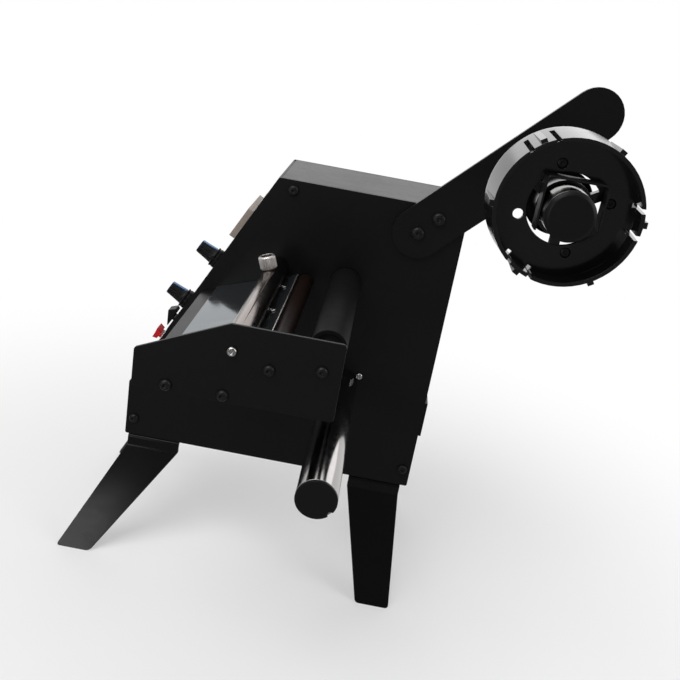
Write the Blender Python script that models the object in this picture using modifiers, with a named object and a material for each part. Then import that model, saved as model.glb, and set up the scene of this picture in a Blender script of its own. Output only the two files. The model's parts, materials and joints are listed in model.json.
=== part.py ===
"""Desk label dispenser: a sheet-metal body on four legs, with a roll arm and core hub above,
a peel table with its rollers on the near side, a rewind shaft below, and a sloped control panel.

Metres, +Z up. +X runs to the rear of the machine and +Y away from the side that holds the rollers.
While the pieces are made, X = 0 is the body's rear face, Y = 0 the outer face of the near side
plate and Z = 0 the desk. One empty then carries them all, so that the origin ends at the middle of
the machine's footprint, on the desk.
"""

import math

import bmesh
import bpy
from mathutils import Euler, Matrix, Vector

# Fits, shared by all pieces
SEAT_GAP = 0.0003
RUNNING_GAP = 0.0003
CUT_OVERRUN = 0.002
WELD_DISTANCE = 0.00001
SPIN_MERGE = 0.00005

# Casing
BODY_LENGTH = 0.2239
BODY_HEIGHT = 0.2193
BODY_DEPTH = 0.078
TOP_LENGTH = 0.1321
FRONT_HEIGHT = 0.0448
SIDE_SHEET = 0.002
COVER_SHEET = 0.0015
PLATE_ROUNDING = 0.0015
BODY_CLEARANCE = 0.0887
BOTTOM_SCREW_INSET = 0.0062
BOTTOM_SCREW_RISE = 0.014
TOP_SCREW_INSET = 0.011
TOP_SCREW_DROP = 0.0073
TAB_RISE = 0.019
TAB_LENGTH = 0.0085

# Black button-head screws of the casing
SCREW_HEAD_RADIUS = 0.0038
SCREW_HEAD_HEIGHT = 0.0021
SCREW_RADIUS = 0.0019
SCREW_LENGTH = 0.0055
SOCKET_RADIUS = 0.0014
SOCKET_DEPTH = 0.0011
SOCKET_SIDES = 6
SCREW_DOME_SHARES = ((0.55, 1.0), (0.88, 0.72), (1.0, 0.2))

# Legs
LEG_SHEET = 0.003
LEG_DROP = 0.009
LEG_SPREAD = math.radians(25.0)
LEG_TAB = 0.025
LEG_TOP_WIDTH = 0.0405
LEG_TIP_WIDTH = 0.0262
FRONT_LEG_TOP_INSET = 0.0227
FRONT_LEG_TIP_REACH = 0.0235
REAR_LEG_TOP_INSET = 0.0253
REAR_LEG_TIP_INSET = 0.0098

# Outer plate and peel table
OUTER_PLATE_REACH = 0.163
OUTER_SHEET = 0.002
OUTER_LEFT = 0.1765
OUTER_RIGHT = 0.064
OUTER_BOTTOM_RISE = 0.1258
OUTER_LEFT_HEIGHT = 0.0225
OUTER_APEX_INSET = 0.0504
OUTER_HEIGHT = 0.0462
OUTER_ROUNDING = 0.002
TABLE_TILT = math.radians(19.5)
TABLE_SHEET = 0.002
TABLE_REAR_SETBACK = 0.0022
TABLE_SCREW_RISE = 0.0041
TABLE_SCREW_FRONT = 0.0191
TABLE_SCREW_REAR = 0.0506
PEEL_FRONT_SETBACK = 0.0112
PEEL_RISE = 0.1337
PEEL_LENGTH = 0.0602
PEEL_SHEET = 0.0015
PEEL_BEVEL = 0.004
PEEL_LIP = 0.0004
PEEL_SIDE_GAP = 0.0008
PEEL_SCREW_FIRST = 0.0283
PEEL_SCREW_PITCH = 0.049
PEEL_SCREW_INSET = 0.0068
PEEL_SCREW_COUNT = 2
PEEL_HEAD_RADIUS = 0.0026
PEEL_HEAD_HEIGHT = 0.0006
PEEL_SCREW_RADIUS = 0.0014
PEEL_SCREW_LENGTH = 0.0055

# Press bar and its thumb screw
BAR_RADIUS = 0.0075
BAR_REAR_INSET = 0.0134
BAR_SCREW_HEAD_RADIUS = 0.003
BAR_SCREW_HEAD_HEIGHT = 0.002
BAR_SCREW_RADIUS = 0.0019
BAR_SCREW_LENGTH = 0.009
THUMB_PLACE = 0.0315
THUMB_SEAT_HEIGHT = 0.0068
THUMB_SEAT_LENGTH = 0.014
THUMB_HEAD_RADIUS = 0.0058
THUMB_HEAD_HEIGHT = 0.0095
THUMB_EDGE = 0.0006
THUMB_SHANK_RADIUS = 0.0022

# Guide rollers of the label path
REAR_ROLLER_RADIUS = 0.0056
REAR_ROLLER_OFFSET = 0.0058
REAR_ROLLER_DROP = 0.0042
REAR_ROLLER_NEAR_END = 0.158
GUIDE_ROLLER_RADIUS = 0.0108
GUIDE_ROLLER_OFFSET = 0.0339
GUIDE_ROLLER_DROP = -0.0006
GUIDE_ROLLER_NEAR_END = 0.128
GUIDE_ROLLER_WALL = 0.0022
ROLLER_FAR_END = 0.002
BEARING_WIDTH = 0.006
REAR_SPINDLE_RADIUS = 0.003
GUIDE_SPINDLE_RADIUS = 0.004
SPIGOT_RADIUS = 0.002

# Screws that hold the table and the spindles between the two plates
PATH_SCREW_RADIUS = 0.0015
PATH_SCREW_LENGTH = 0.006
PATH_HEAD_RADIUS = 0.0033
PATH_HEAD_HEIGHT = 0.0019

# Rewind shaft with its end cap and gear motor
REWIND_INSET = 0.0655
REWIND_RISE = 0.0757
REWIND_RADIUS = 0.0125
REWIND_WALL = 0.0015
REWIND_NEAR_END = 0.1609
REWIND_FAR_END = 0.001
REWIND_CAP_THICKNESS = 0.0018
REWIND_PLUG_LENGTH = 0.008
NOTCH_RADIUS = 0.002
NOTCH_ANGLE = math.radians(-40.0)
OUTPUT_SHAFT_RADIUS = 0.003
OUTPUT_SHAFT_REACH = 0.022
DRIVE_PLUG_LENGTH = 0.018
SHAFT_HOLE_RADIUS = 0.0055
GEARBOX_RADIUS = 0.0185
GEARBOX_LENGTH = 0.025
MOTOR_RADIUS = 0.0165
MOTOR_LENGTH = 0.030
MOTOR_BORE_DEPTH = 0.004
MOTOR_SCREW_CIRCLE = 0.0156
MOTOR_SCREW_ANGLE = math.radians(33.0)
MOTOR_SCREW_HEAD_RADIUS = 0.0026
MOTOR_SCREW_HEAD_HEIGHT = 0.0012
MOTOR_SCREW_RADIUS = 0.0014
MOTOR_SCREW_LENGTH = 0.0055

# Roll arm
ARM_SHEET = 0.003
ARM_HALF_WIDTH = 0.01765
ARM_ANGLE = math.radians(45.0)
ARM_LOW_INSET = 0.0317
ARM_LOW_DROP = 0.02
ARM_LENGTH = 0.1375
ARM_SCREW_SPACING = 0.01725
ARM_SCREW_COUNT = 2
ARM_SCREW_HEAD_RADIUS = 0.00475
ARM_SCREW_HEAD_HEIGHT = 0.0026
ARM_SCREW_RADIUS = 0.0024
ARM_SCREW_LENGTH = 0.009

# Roll shaft, its cap and the stop collar
ROLL_SHAFT_PLACE = 0.0863
ROLL_SHAFT_RADIUS = 0.0125
ROLL_SHAFT_WALL = 0.0015
ROLL_SHAFT_REACH = 0.1672
ROLL_SHAFT_FLOOR = 0.01
ROLL_CAP_THICKNESS = 0.0025
ROLL_CAP_FACE_RADIUS = 0.0105
ROLL_CAP_BEVEL = 0.0012
ROLL_PLUG_LENGTH = 0.009
ROLL_BOLT_RADIUS = 0.003
ROLL_BOLT_LENGTH = 0.011
ROLL_BOLT_HEAD_RADIUS = 0.0058
ROLL_BOLT_HEAD_HEIGHT = 0.004
COLLAR_RADIUS = 0.0175
COLLAR_WIDTH = 0.009

# Core hub
HUB_RIM_SETBACK = 0.0042
HUB_DEPTH = 0.030
HUB_RADIUS = 0.0381
HUB_RIM_RADIUS = 0.0365
HUB_WALL = 0.0021
HUB_LEAD_IN = 0.003
HUB_FLOOR_HEIGHT = 0.017
HUB_FLOOR_SHEET = 0.002
HUB_OPENING_RADIUS = 0.0186
HUB_SLEEVE_WALL = 0.0015
HUB_SLEEVE_START = 0.0006
HUB_SPOKE_WIDTH = 0.005
HUB_SPOKE_HEIGHT = 0.005
HUB_SPOKE_ANGLE = math.radians(30.0)
HUB_TAB_COUNT = 3
HUB_TAB_ANGLE = math.radians(2.0)
HUB_RIB_COUNT = 6
HUB_RIB_WIDTH = 0.0032
HUB_RIB_RISE = 0.0004
HUB_RIB_END = 0.0008
HUB_SLOT_WIDTH = 0.0024
HUB_SLOT_DEPTH = 0.022
HUB_TAB_HALF_WIDTH = 0.0066
HUB_HOLE_COUNT = 4
HUB_HOLE_RADIUS = 0.0027
HUB_HOLE_CIRCLE = 0.0226
HUB_HOLE_ANGLE = math.radians(16.6)
SPRING_SHEET = 0.001
SPRING_WIDTH = 0.0095
SPRING_RIGHT = 0.017
SPRING_TOP = 0.016
SPRING_LEFT_END = 0.011
SPRING_RIGHT_END = 0.007
SPRING_TAIL_SIDE = 0.010
SPRING_TAIL_DROP = 0.0135

# Control panel furniture, placed down the slope from its top edge
PANEL_CENTRE = 0.039
RESET_PLACE = 0.0286
RESET_LENGTH = 0.0124
RESET_WIDTH = 0.046
RESET_HEIGHT = 0.0006
RESET_BUTTON_RADIUS = 0.0048
RESET_BUTTON_HEIGHT = 0.0002
RESET_BUTTON_DEPTH = 0.005
RESET_TRAVEL = 0.0012
COUNTER_PLACE = 0.0476
COUNTER_LENGTH = 0.0247
COUNTER_WIDTH = 0.048
COUNTER_HEIGHT = 0.0047
COUNTER_FRAME = 0.0035
COUNTER_WINDOW_DEPTH = 0.0012
COUNTER_BODY_DEPTH = 0.018
COUNTER_BODY_INSET = 0.0017
KNOB_PLACES = {"speed_knob": 0.089, "delay_knob": 0.131}
KNOB_SKIRT_RADIUS = 0.0078
KNOB_SKIRT_HEIGHT = 0.0042
KNOB_BASE_RADIUS = 0.0062
KNOB_TOP_RADIUS = 0.0048
KNOB_HEIGHT = 0.0171
KNOB_EDGE = 0.0004
KNOB_LIFT = 0.0008
KNOB_CAP_RADIUS = 0.0037
KNOB_CAP_THICKNESS = 0.0008
KNOB_BORE_DEPTH = 0.011
POT_SHAFT_RADIUS = 0.003
POT_BUSH_RADIUS = 0.0035
POT_BODY_RADIUS = 0.008
POT_BODY_DEPTH = 0.009
LEVER_PLACE = 0.1494
LEVER_LENGTH = 0.0158
LEVER_WIDTH = 0.0095
LEVER_HEIGHT = 0.0088
LEVER_END_HEIGHT = 0.0047
LEVER_LOW_HEIGHT = 0.0026
LEVER_TIP = 0.0045
LEVER_UNDERCUT = 0.0022
ROCKER_PLACE = 0.1679
ROCKER_LENGTH = 0.0091
ROCKER_WIDTH = 0.011
ROCKER_HIGH = 0.0074
ROCKER_LOW = 0.0066
ROCKER_DIP = 0.0068
ROCKER_UNDERCUT = 0.003
KEY_DRAW_IN = 0.0012
PIVOT_HALF = 0.0012
PIVOT_DROP = 0.0012
SWITCH_FLANGE = 0.001
SWITCH_RIM = 0.0007
SWITCH_GAP = 0.0004
SWITCH_WALL = 0.0006
SWITCH_RECESS = 0.0018
SWITCH_DEPTH = 0.014

# Power inlet on the rear cover
INLET_RISE = 0.0471
INLET_HEIGHT = 0.0286
INLET_WIDTH = 0.031
INLET_PROUD = 0.0045
INLET_BODY_INSET = 0.002
INLET_DEPTH = 0.019
INLET_WALL = 0.0035
INLET_SOCKET_DEPTH = 0.016
INLET_PIN_LENGTH = 0.01
INLET_PIN_WIDTH = 0.004
INLET_PIN_THICKNESS = 0.0016
INLET_PIN_SPACING = 0.007
INLET_PIN_RISE = 0.004
INLET_PIN_ROOT = 0.001

# Inner electrics
SUPPLY_LENGTH = 0.07
SUPPLY_WIDTH = 0.045
SUPPLY_HEIGHT = 0.028
SUPPLY_FRONT_GAP = 0.035
BOARD_LENGTH = 0.06
BOARD_SHEET = 0.0016
BOARD_HEIGHT = 0.046
BOARD_REAR_GAP = 0.018
BOARD_RISE = 0.13
BOARD_STANDOFF = 0.008
STANDOFF_RADIUS = 0.0028
STANDOFF_INSET = 0.005

# Facets
SMALL_STEPS = 12
ROUND_STEPS = 24
ROLLER_STEPS = 32
HUB_STEPS = 60
CORNER_STEPS = 4
ARM_STEPS = 16
SMOOTH_ANGLE = math.radians(35.0)

# Places worked out from the sizes above
BODY_TOP = BODY_CLEARANCE + BODY_HEIGHT
SLOPE_ANGLE = math.atan2(BODY_HEIGHT - FRONT_HEIGHT, BODY_LENGTH - TOP_LENGTH)
OUTER_FACE_Y = -OUTER_PLATE_REACH
OUTER_INNER_Y = OUTER_FACE_Y + OUTER_SHEET
OUTER_BOTTOM = BODY_CLEARANCE + OUTER_BOTTOM_RISE
PEEL_FRONT = Vector((-OUTER_LEFT + PEEL_FRONT_SETBACK, BODY_CLEARANCE + PEEL_RISE))
TABLE_ALONG = Vector((math.cos(TABLE_TILT), math.sin(TABLE_TILT)))
TABLE_UP = Vector((-math.sin(TABLE_TILT), math.cos(TABLE_TILT)))
PEEL_REAR = PEEL_FRONT + TABLE_ALONG * PEEL_LENGTH
BAR_AXIS = PEEL_REAR - TABLE_ALONG * BAR_REAR_INSET + TABLE_UP * (BAR_RADIUS + SEAT_GAP)
REAR_ROLLER_AXIS = PEEL_REAR + Vector((REAR_ROLLER_OFFSET, -REAR_ROLLER_DROP))
GUIDE_ROLLER_AXIS = PEEL_REAR + Vector((GUIDE_ROLLER_OFFSET, -GUIDE_ROLLER_DROP))
REWIND_AXIS = Vector((-REWIND_INSET, BODY_CLEARANCE + REWIND_RISE))
ARM_ALONG = Vector((math.cos(ARM_ANGLE), math.sin(ARM_ANGLE)))
ARM_LOW = Vector((-ARM_LOW_INSET, BODY_TOP - ARM_LOW_DROP))
ARM_HIGH = ARM_LOW + ARM_ALONG * ARM_LENGTH
ROLL_AXIS = ARM_LOW + ARM_ALONG * ROLL_SHAFT_PLACE
HUB_NEAR_RIM = ROLL_SHAFT_REACH - HUB_RIM_SETBACK
ARM_NEAR_Y = -SEAT_GAP - ARM_SHEET
ARM_SCREW_PLACES = [ARM_LOW + ARM_ALONG * (index * ARM_SCREW_SPACING)
                    for index in range(ARM_SCREW_COUNT)]
MOTOR_SCREW_SPOT = Vector((MOTOR_SCREW_CIRCLE * math.cos(MOTOR_SCREW_ANGLE),
                           MOTOR_SCREW_CIRCLE * math.sin(MOTOR_SCREW_ANGLE)))
TABLE_SCREW_PLACES = [Vector((-OUTER_LEFT + setback, OUTER_BOTTOM + TABLE_SCREW_RISE))
                      for setback in (TABLE_SCREW_FRONT, TABLE_SCREW_REAR)]
BOTTOM_SCREW_PLACES = [Vector((-BODY_LENGTH + BOTTOM_SCREW_INSET, BODY_CLEARANCE + BOTTOM_SCREW_RISE)),
                       Vector((-BOTTOM_SCREW_INSET, BODY_CLEARANCE + BOTTOM_SCREW_RISE))]
TOP_FRONT_SCREW = Vector((-TOP_LENGTH + TOP_SCREW_INSET, BODY_TOP - TOP_SCREW_DROP))
TOP_REAR_SCREW = Vector((-BOTTOM_SCREW_INSET, BODY_TOP - TOP_SCREW_DROP))

# Turns a shape made flat, with its height along Z, to face the near side
NEAR_TURN = (math.radians(90.0), 0, 0)
FAR_TURN = (math.radians(-90.0), 0, 0)
TO_NEAR = Euler(NEAR_TURN).to_matrix().to_4x4()

PARTS = None
CUTTERS = None
CARRIER = None


def prepare_scene():
    """Removes what the scene holds, and makes the two collections and the carrying empty."""
    global PARTS, CUTTERS, CARRIER
    for item in list(bpy.data.objects):
        bpy.data.objects.remove(item, do_unlink=True)
    PARTS = bpy.data.collections.new("label_dispenser")
    CUTTERS = bpy.data.collections.new("cutters")
    for collection in (PARTS, CUTTERS):
        bpy.context.scene.collection.children.link(collection)
    CARRIER = bpy.data.objects.new("machine_origin", None)
    PARTS.objects.link(CARRIER)
    front = BODY_LENGTH + FRONT_LEG_TIP_REACH + LEG_TIP_WIDTH / 2
    rear = ARM_HIGH.x + ARM_HALF_WIDTH
    near = ROLL_SHAFT_REACH + SEAT_GAP + ROLL_CAP_THICKNESS
    far = BODY_DEPTH + leg_spread_reach()
    CARRIER.location = ((front - rear) / 2, (near - far) / 2, 0)


def leg_spread_reach():
    """How far a leg's tip stands outside the side plate, at the desk."""
    return (BODY_CLEARANCE - SEAT_GAP - LEG_DROP) * math.tan(LEG_SPREAD)


def place_3d(point, y):
    """A point of the side view, as X and Z, at a given Y."""
    return (point.x, y, point.y)


def finish_of(name, colour, roughness, metallic):
    """The piece's own Principled material."""
    material = bpy.data.materials.new(name + "_finish")
    material.use_nodes = True
    shader = material.node_tree.nodes["Principled BSDF"]
    shader.inputs["Base Color"].default_value = (*colour, 1.0)
    shader.inputs["Roughness"].default_value = roughness
    shader.inputs["Metallic"].default_value = metallic
    material.diffuse_color = (*colour, 1.0)
    return material


BLACK_COAT = ((0.012, 0.012, 0.013), 0.42, 0.0)
BLACK_PLASTIC = ((0.011, 0.011, 0.012), 0.30, 0.0)
BLACK_STEEL = ((0.015, 0.015, 0.016), 0.38, 0.6)
BRIGHT_STEEL = ((0.75, 0.75, 0.77), 0.10, 1.0)
PLAIN_STEEL = ((0.55, 0.55, 0.56), 0.32, 1.0)
WARM_RUBBER = ((0.045, 0.040, 0.038), 0.55, 0.0)
BEIGE_PLASTIC = ((0.52, 0.42, 0.35), 0.50, 0.0)
PALE_PLASTIC = ((0.60, 0.60, 0.58), 0.50, 0.0)
BLUE_PLASTIC = ((0.02, 0.20, 0.48), 0.35, 0.0)
RED_PLASTIC = ((0.75, 0.02, 0.03), 0.35, 0.0)
GREEN_BOARD = ((0.02, 0.16, 0.07), 0.45, 0.0)
ZINC = ((0.48, 0.49, 0.50), 0.45, 1.0)


def add_piece(name, mesh, finish, location=(0, 0, 0), rotation=(0, 0, 0)):
    """One named piece, carried by the machine's empty."""
    piece = bpy.data.objects.new(name, mesh)
    piece.location = location
    piece.rotation_euler = rotation
    piece.parent = CARRIER
    mesh.name = name
    mesh.materials.clear()
    mesh.materials.append(finish_of(name, *finish))
    mesh.shade_smooth()
    mesh.set_sharp_from_angle(angle=SMOOTH_ANGLE)
    PARTS.objects.link(piece)
    return piece


def add_guide(name, mesh, location=(0, 0, 0), rotation=(0, 0, 0)):
    """A shape that only cuts or joins another piece."""
    guide = bpy.data.objects.new(name, mesh)
    guide.location = location
    guide.rotation_euler = rotation
    guide.parent = CARRIER
    guide.hide_render = True
    guide.display_type = "WIRE"
    CUTTERS.objects.link(guide)
    return guide


def boolean(piece, guide, operation):
    """Cuts the guide from the piece, or joins it on."""
    modifier = piece.modifiers.new(guide.name, "BOOLEAN")
    modifier.operation = operation
    modifier.object = guide


def cut(piece, name, mesh, location=(0, 0, 0), rotation=(0, 0, 0)):
    """Cuts a shape from the piece."""
    boolean(piece, add_guide(name, mesh, location, rotation), "DIFFERENCE")


def join(piece, name, mesh, location=(0, 0, 0), rotation=(0, 0, 0)):
    """Joins a shape to the piece."""
    boolean(piece, add_guide(name, mesh, location, rotation), "UNION")


def evaluated_mesh(data, modifiers=()):
    """The finished mesh of a curve or mesh, with each modifier given as a type and its values."""
    holder = bpy.data.objects.new("holder", data)
    bpy.context.scene.collection.objects.link(holder)
    for kind, values in modifiers:
        modifier = holder.modifiers.new(kind, kind)
        for key, value in values.items():
            setattr(modifier, key, value)
    graph = bpy.context.evaluated_depsgraph_get()
    mesh = bpy.data.meshes.new_from_object(holder.evaluated_get(graph))
    bpy.data.objects.remove(holder, do_unlink=True)
    return mesh


def welded(mesh):
    """The same mesh with its loose caps joined to its sides."""
    work = bmesh.new()
    work.from_mesh(mesh)
    bmesh.ops.remove_doubles(work, verts=work.verts, dist=WELD_DISTANCE)
    bmesh.ops.recalc_face_normals(work, faces=work.faces)
    work.to_mesh(mesh)
    work.free()
    return mesh


def flat_sheet(outline, thickness, holes=()):
    """A sheet in the XY plane, half its thickness each side, from a filled 2D curve."""
    curve = bpy.data.curves.new("outline", "CURVE")
    curve.dimensions = "2D"
    curve.fill_mode = "BOTH"
    curve.extrude = thickness / 2
    for loop in (outline, *holes):
        spline = curve.splines.new("POLY")
        spline.points.add(len(loop) - 1)
        for point, place in zip(spline.points, loop):
            point.co = (place[0], place[1], 0, 1)
        spline.use_cyclic_u = True
    return welded(evaluated_mesh(curve))


def ring_points(centre, radius, steps, start=0.0, sweep=math.tau):
    """Points round an arc or a whole circle."""
    count = steps if sweep == math.tau else steps + 1
    return [(centre[0] + radius * math.cos(start + sweep * index / steps),
             centre[1] + radius * math.sin(start + sweep * index / steps))
            for index in range(count)]


def rounded_outline(corners, radius):
    """A closed outline whose corners are arcs of one radius, tangent to both sides."""
    points = []
    for index, corner in enumerate(corners):
        here = Vector(corner)
        back = (Vector(corners[index - 1]) - here).normalized()
        ahead = (Vector(corners[(index + 1) % len(corners)]) - here).normalized()
        half = back.angle(ahead) / 2
        middle = here + (back + ahead).normalized() * (radius / math.sin(half))
        first = here + back * (radius / math.tan(half)) - middle
        last = here + ahead * (radius / math.tan(half)) - middle
        for step in range(CORNER_STEPS + 1):
            turned_to = first.slerp(last, step / CORNER_STEPS)
            points.append(tuple(middle + turned_to.normalized() * radius))
    return points


def box_mesh(low, high):
    """A box between two corners."""
    work = bmesh.new()
    size = [top - bottom for bottom, top in zip(low, high)]
    centre = [(top + bottom) / 2 for bottom, top in zip(low, high)]
    fit = Matrix.Translation(centre) @ Matrix.Diagonal((*size, 1))
    bmesh.ops.create_cube(work, size=1, matrix=fit)
    return finished(work, "box")


def rod_mesh(radius, start, end, steps=ROUND_STEPS):
    """A closed cylinder along Z between two heights."""
    work = bmesh.new()
    bmesh.ops.create_cone(work, cap_ends=True, segments=steps, radius1=radius, radius2=radius,
                          depth=end - start, matrix=Matrix.Translation((0, 0, (start + end) / 2)))
    return finished(work, "rod")


def finished(work, name):
    """Turns the working mesh into mesh data."""
    mesh = bpy.data.meshes.new(name)
    work.to_mesh(mesh)
    work.free()
    return mesh


def turned_mesh(profile, steps=ROUND_STEPS, closed=False):
    """Spins a profile of radius and height round Z; it runs down its outer side."""
    mesh = bpy.data.meshes.new("profile")
    edges = [(index, index + 1) for index in range(len(profile) - 1)]
    if closed:
        edges.append((len(profile) - 1, 0))
    mesh.from_pydata([(radius, 0, height) for radius, height in profile], edges, [])
    spin = {"angle": math.tau, "steps": steps, "render_steps": steps, "use_merge_vertices": True,
            "merge_threshold": SPIN_MERGE}
    weld = {"merge_threshold": SPIN_MERGE}
    return evaluated_mesh(mesh, [("SCREW", spin), ("WELD", weld)])


def tube_mesh(outer, inner, start, end, steps=ROUND_STEPS):
    """A plain tube along Z between two heights."""
    return turned_mesh([(outer, end), (outer, start), (inner, start), (inner, end)], steps, True)


def moved(mesh, matrix):
    """A copy of a mesh, moved by a matrix."""
    copy = mesh.copy()
    copy.transform(matrix)
    return copy


def gathered(meshes, name):
    """Several separate solids in one mesh."""
    work = bmesh.new()
    for mesh in meshes:
        work.from_mesh(mesh)
    return finished(work, name)


def screw_mesh(head_radius, head_height, radius, length, socket_radius=None):
    """A button-head screw along Z: its seat at SEAT_GAP, its shank below, a six-sided socket."""
    top = SEAT_GAP + head_height
    dome = [(head_radius * across, SEAT_GAP + head_height * up) for across, up in SCREW_DOME_SHARES]
    mesh = turned_mesh([(0, top), *dome, (head_radius, SEAT_GAP), (radius, SEAT_GAP), (radius, -length),
                        (0, -length)], SMALL_STEPS)
    if socket_radius is None:
        return mesh
    floor = top - min(SOCKET_DEPTH, head_height / 2)
    return cut_mesh(mesh, rod_mesh(socket_radius, floor, top + CUT_OVERRUN, SOCKET_SIDES))


def cut_mesh(mesh, cutter):
    """The mesh left when a cutter is taken from it at once."""
    guide = bpy.data.objects.new("mesh_cutter", cutter)
    CUTTERS.objects.link(guide)
    left = evaluated_mesh(mesh, [("BOOLEAN", {"operation": "DIFFERENCE", "object": guide})])
    bpy.data.objects.remove(guide, do_unlink=True)
    return left


def add_screws(names, screw, places, finish, turn=NEAR_TURN):
    """One piece for each place, all of one screw's shape, turned to one side."""
    for name, place in zip(names, places):
        add_piece(name, screw.copy(), finish, place, turn)


def strip_mesh(rows):
    """An open surface through rows of points, each row as long as the next."""
    work = bmesh.new()
    lines = [[work.verts.new(point) for point in row] for row in rows]
    for low, high in zip(lines, lines[1:]):
        for index in range(len(low) - 1):
            work.faces.new((low[index], low[index + 1], high[index + 1], high[index]))
    return finished(work, "strip")


def thickened(mesh, thickness, offset=-1.0):
    """The sheet made from an open surface, bent parts mitred."""
    values = {"thickness": thickness, "offset": offset, "use_even_offset": True}
    return evaluated_mesh(mesh, [("SOLIDIFY", values)])


def slope_point(down, proud=0.0):
    """The side-view point a given way down the control slope, and proud of it."""
    along = Vector((math.cos(SLOPE_ANGLE), math.sin(SLOPE_ANGLE)))
    outward = Vector((-math.sin(SLOPE_ANGLE), math.cos(SLOPE_ANGLE)))
    return Vector((-TOP_LENGTH, BODY_TOP)) - along * down + outward * proud


SLOPE_TURN = (0, -SLOPE_ANGLE, 0)
TABLE_TURN = (0, -TABLE_TILT, 0)


def side_corners():
    """Corners of a side plate, from its front foot round by the top."""
    return [(-BODY_LENGTH, BODY_CLEARANCE), (-BODY_LENGTH, BODY_CLEARANCE + FRONT_HEIGHT),
            (-TOP_LENGTH, BODY_TOP), (0, BODY_TOP), (0, BODY_CLEARANCE)]


def spigot_hole():
    """Radius of the near side plate's holes for the ends of the bar and the spindles."""
    return SPIGOT_RADIUS + RUNNING_GAP


def make_side_plates():
    """The two side plates: holes in the near one, pressed-in stand-offs on the far one."""
    outline = rounded_outline(side_corners(), PLATE_ROUNDING)
    holes = [(point, SCREW_RADIUS + RUNNING_GAP) for point in (*BOTTOM_SCREW_PLACES, TOP_FRONT_SCREW)]
    holes += [(point, ARM_SCREW_RADIUS + RUNNING_GAP) for point in ARM_SCREW_PLACES]
    holes += [(point, spigot_hole()) for point in (REAR_ROLLER_AXIS, GUIDE_ROLLER_AXIS, BAR_AXIS)]
    holes.append((REWIND_AXIS, SHAFT_HOLE_RADIUS))
    holes.append((REWIND_AXIS + MOTOR_SCREW_SPOT, MOTOR_SCREW_RADIUS + RUNNING_GAP))
    loops = [ring_points(point, radius, SMALL_STEPS) for point, radius in holes]
    near = flat_sheet(outline, SIDE_SHEET, loops)
    add_piece("side_plate_near", near, BLACK_COAT, (0, SIDE_SHEET / 2, 0), NEAR_TURN)
    far = add_piece("side_plate_far", flat_sheet(outline, SIDE_SHEET), BLACK_COAT,
                    (0, BODY_DEPTH - SIDE_SHEET / 2, 0), NEAR_TURN)
    post = rod_mesh(STANDOFF_RADIUS, SIDE_SHEET / 2, SIDE_SHEET + BOARD_STANDOFF - SEAT_GAP, SMALL_STEPS)
    low, high = board_heights()
    posts = [moved(post, Matrix.Translation((x, BODY_DEPTH, z)) @ TO_NEAR)
             for x in (-BOARD_REAR_GAP - BOARD_LENGTH + STANDOFF_INSET, -BOARD_REAR_GAP - STANDOFF_INSET)
             for z in (low + STANDOFF_INSET, high - STANDOFF_INSET)]
    join(far, "board_standoffs", gathered(posts, "board_standoffs"))


def board_heights():
    """Heights of the control board's lower and upper edge."""
    low = BODY_CLEARANCE + BOARD_RISE
    return low, low + BOARD_HEIGHT


def cover_span():
    """The two Y values that the covers reach between the side plates."""
    return SIDE_SHEET + SEAT_GAP, BODY_DEPTH - SIDE_SHEET - SEAT_GAP


def cover_sheet(points):
    """A bent cover whose outer face follows side-view points, seen from outside left to right."""
    low, high = cover_span()
    rows = [[(x, low, z), (x, high, z)] for x, z in points]
    return thickened(strip_mesh(rows), COVER_SHEET)


def make_roof_and_base():
    """The flat roof and the base plate, each with bent tabs that the casing screws enter."""
    low, high = cover_span()
    front = -TOP_LENGTH + COVER_SHEET + SEAT_GAP
    rear = -COVER_SHEET - SEAT_GAP
    roof = add_piece("roof_cover", box_mesh((front, low, BODY_TOP - COVER_SHEET), (rear, high, BODY_TOP)),
                     BLACK_COAT)
    base_front = -BODY_LENGTH + COVER_SHEET + SEAT_GAP
    base = add_piece("base_plate", box_mesh((base_front, low, BODY_CLEARANCE),
                                            (rear, high, BODY_CLEARANCE + COVER_SHEET)), BLACK_COAT)
    far_tab = high - COVER_SHEET
    upper = [(TOP_FRONT_SCREW, low), (TOP_FRONT_SCREW, far_tab), (TOP_REAR_SCREW, far_tab)]
    lower = [(point, y) for point in BOTTOM_SCREW_PLACES for y in (low, far_tab)]
    add_tabs(roof, "roof_tabs", upper, BODY_TOP - TAB_RISE, BODY_TOP)
    add_tabs(base, "base_tabs", lower, BODY_CLEARANCE, BODY_CLEARANCE + TAB_RISE)


def add_tabs(cover, name, spots, bottom, top):
    """Joins upright tabs to a cover, one at each screw, and drills them."""
    half = TAB_LENGTH / 2
    tabs = [box_mesh((screw.x - half, y, bottom), (screw.x + half, y + COVER_SHEET, top))
            for screw, y in spots]
    drill = rod_mesh(SCREW_RADIUS + RUNNING_GAP, -CUT_OVERRUN - COVER_SHEET, CUT_OVERRUN, SMALL_STEPS)
    drills = [moved(drill, Matrix.Translation(place_3d(screw, y)) @ TO_NEAR) for screw, y in spots]
    join(cover, name, gathered(tabs, name))
    cut(cover, name + "_drills", gathered(drills, name + "_drills"))


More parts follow.
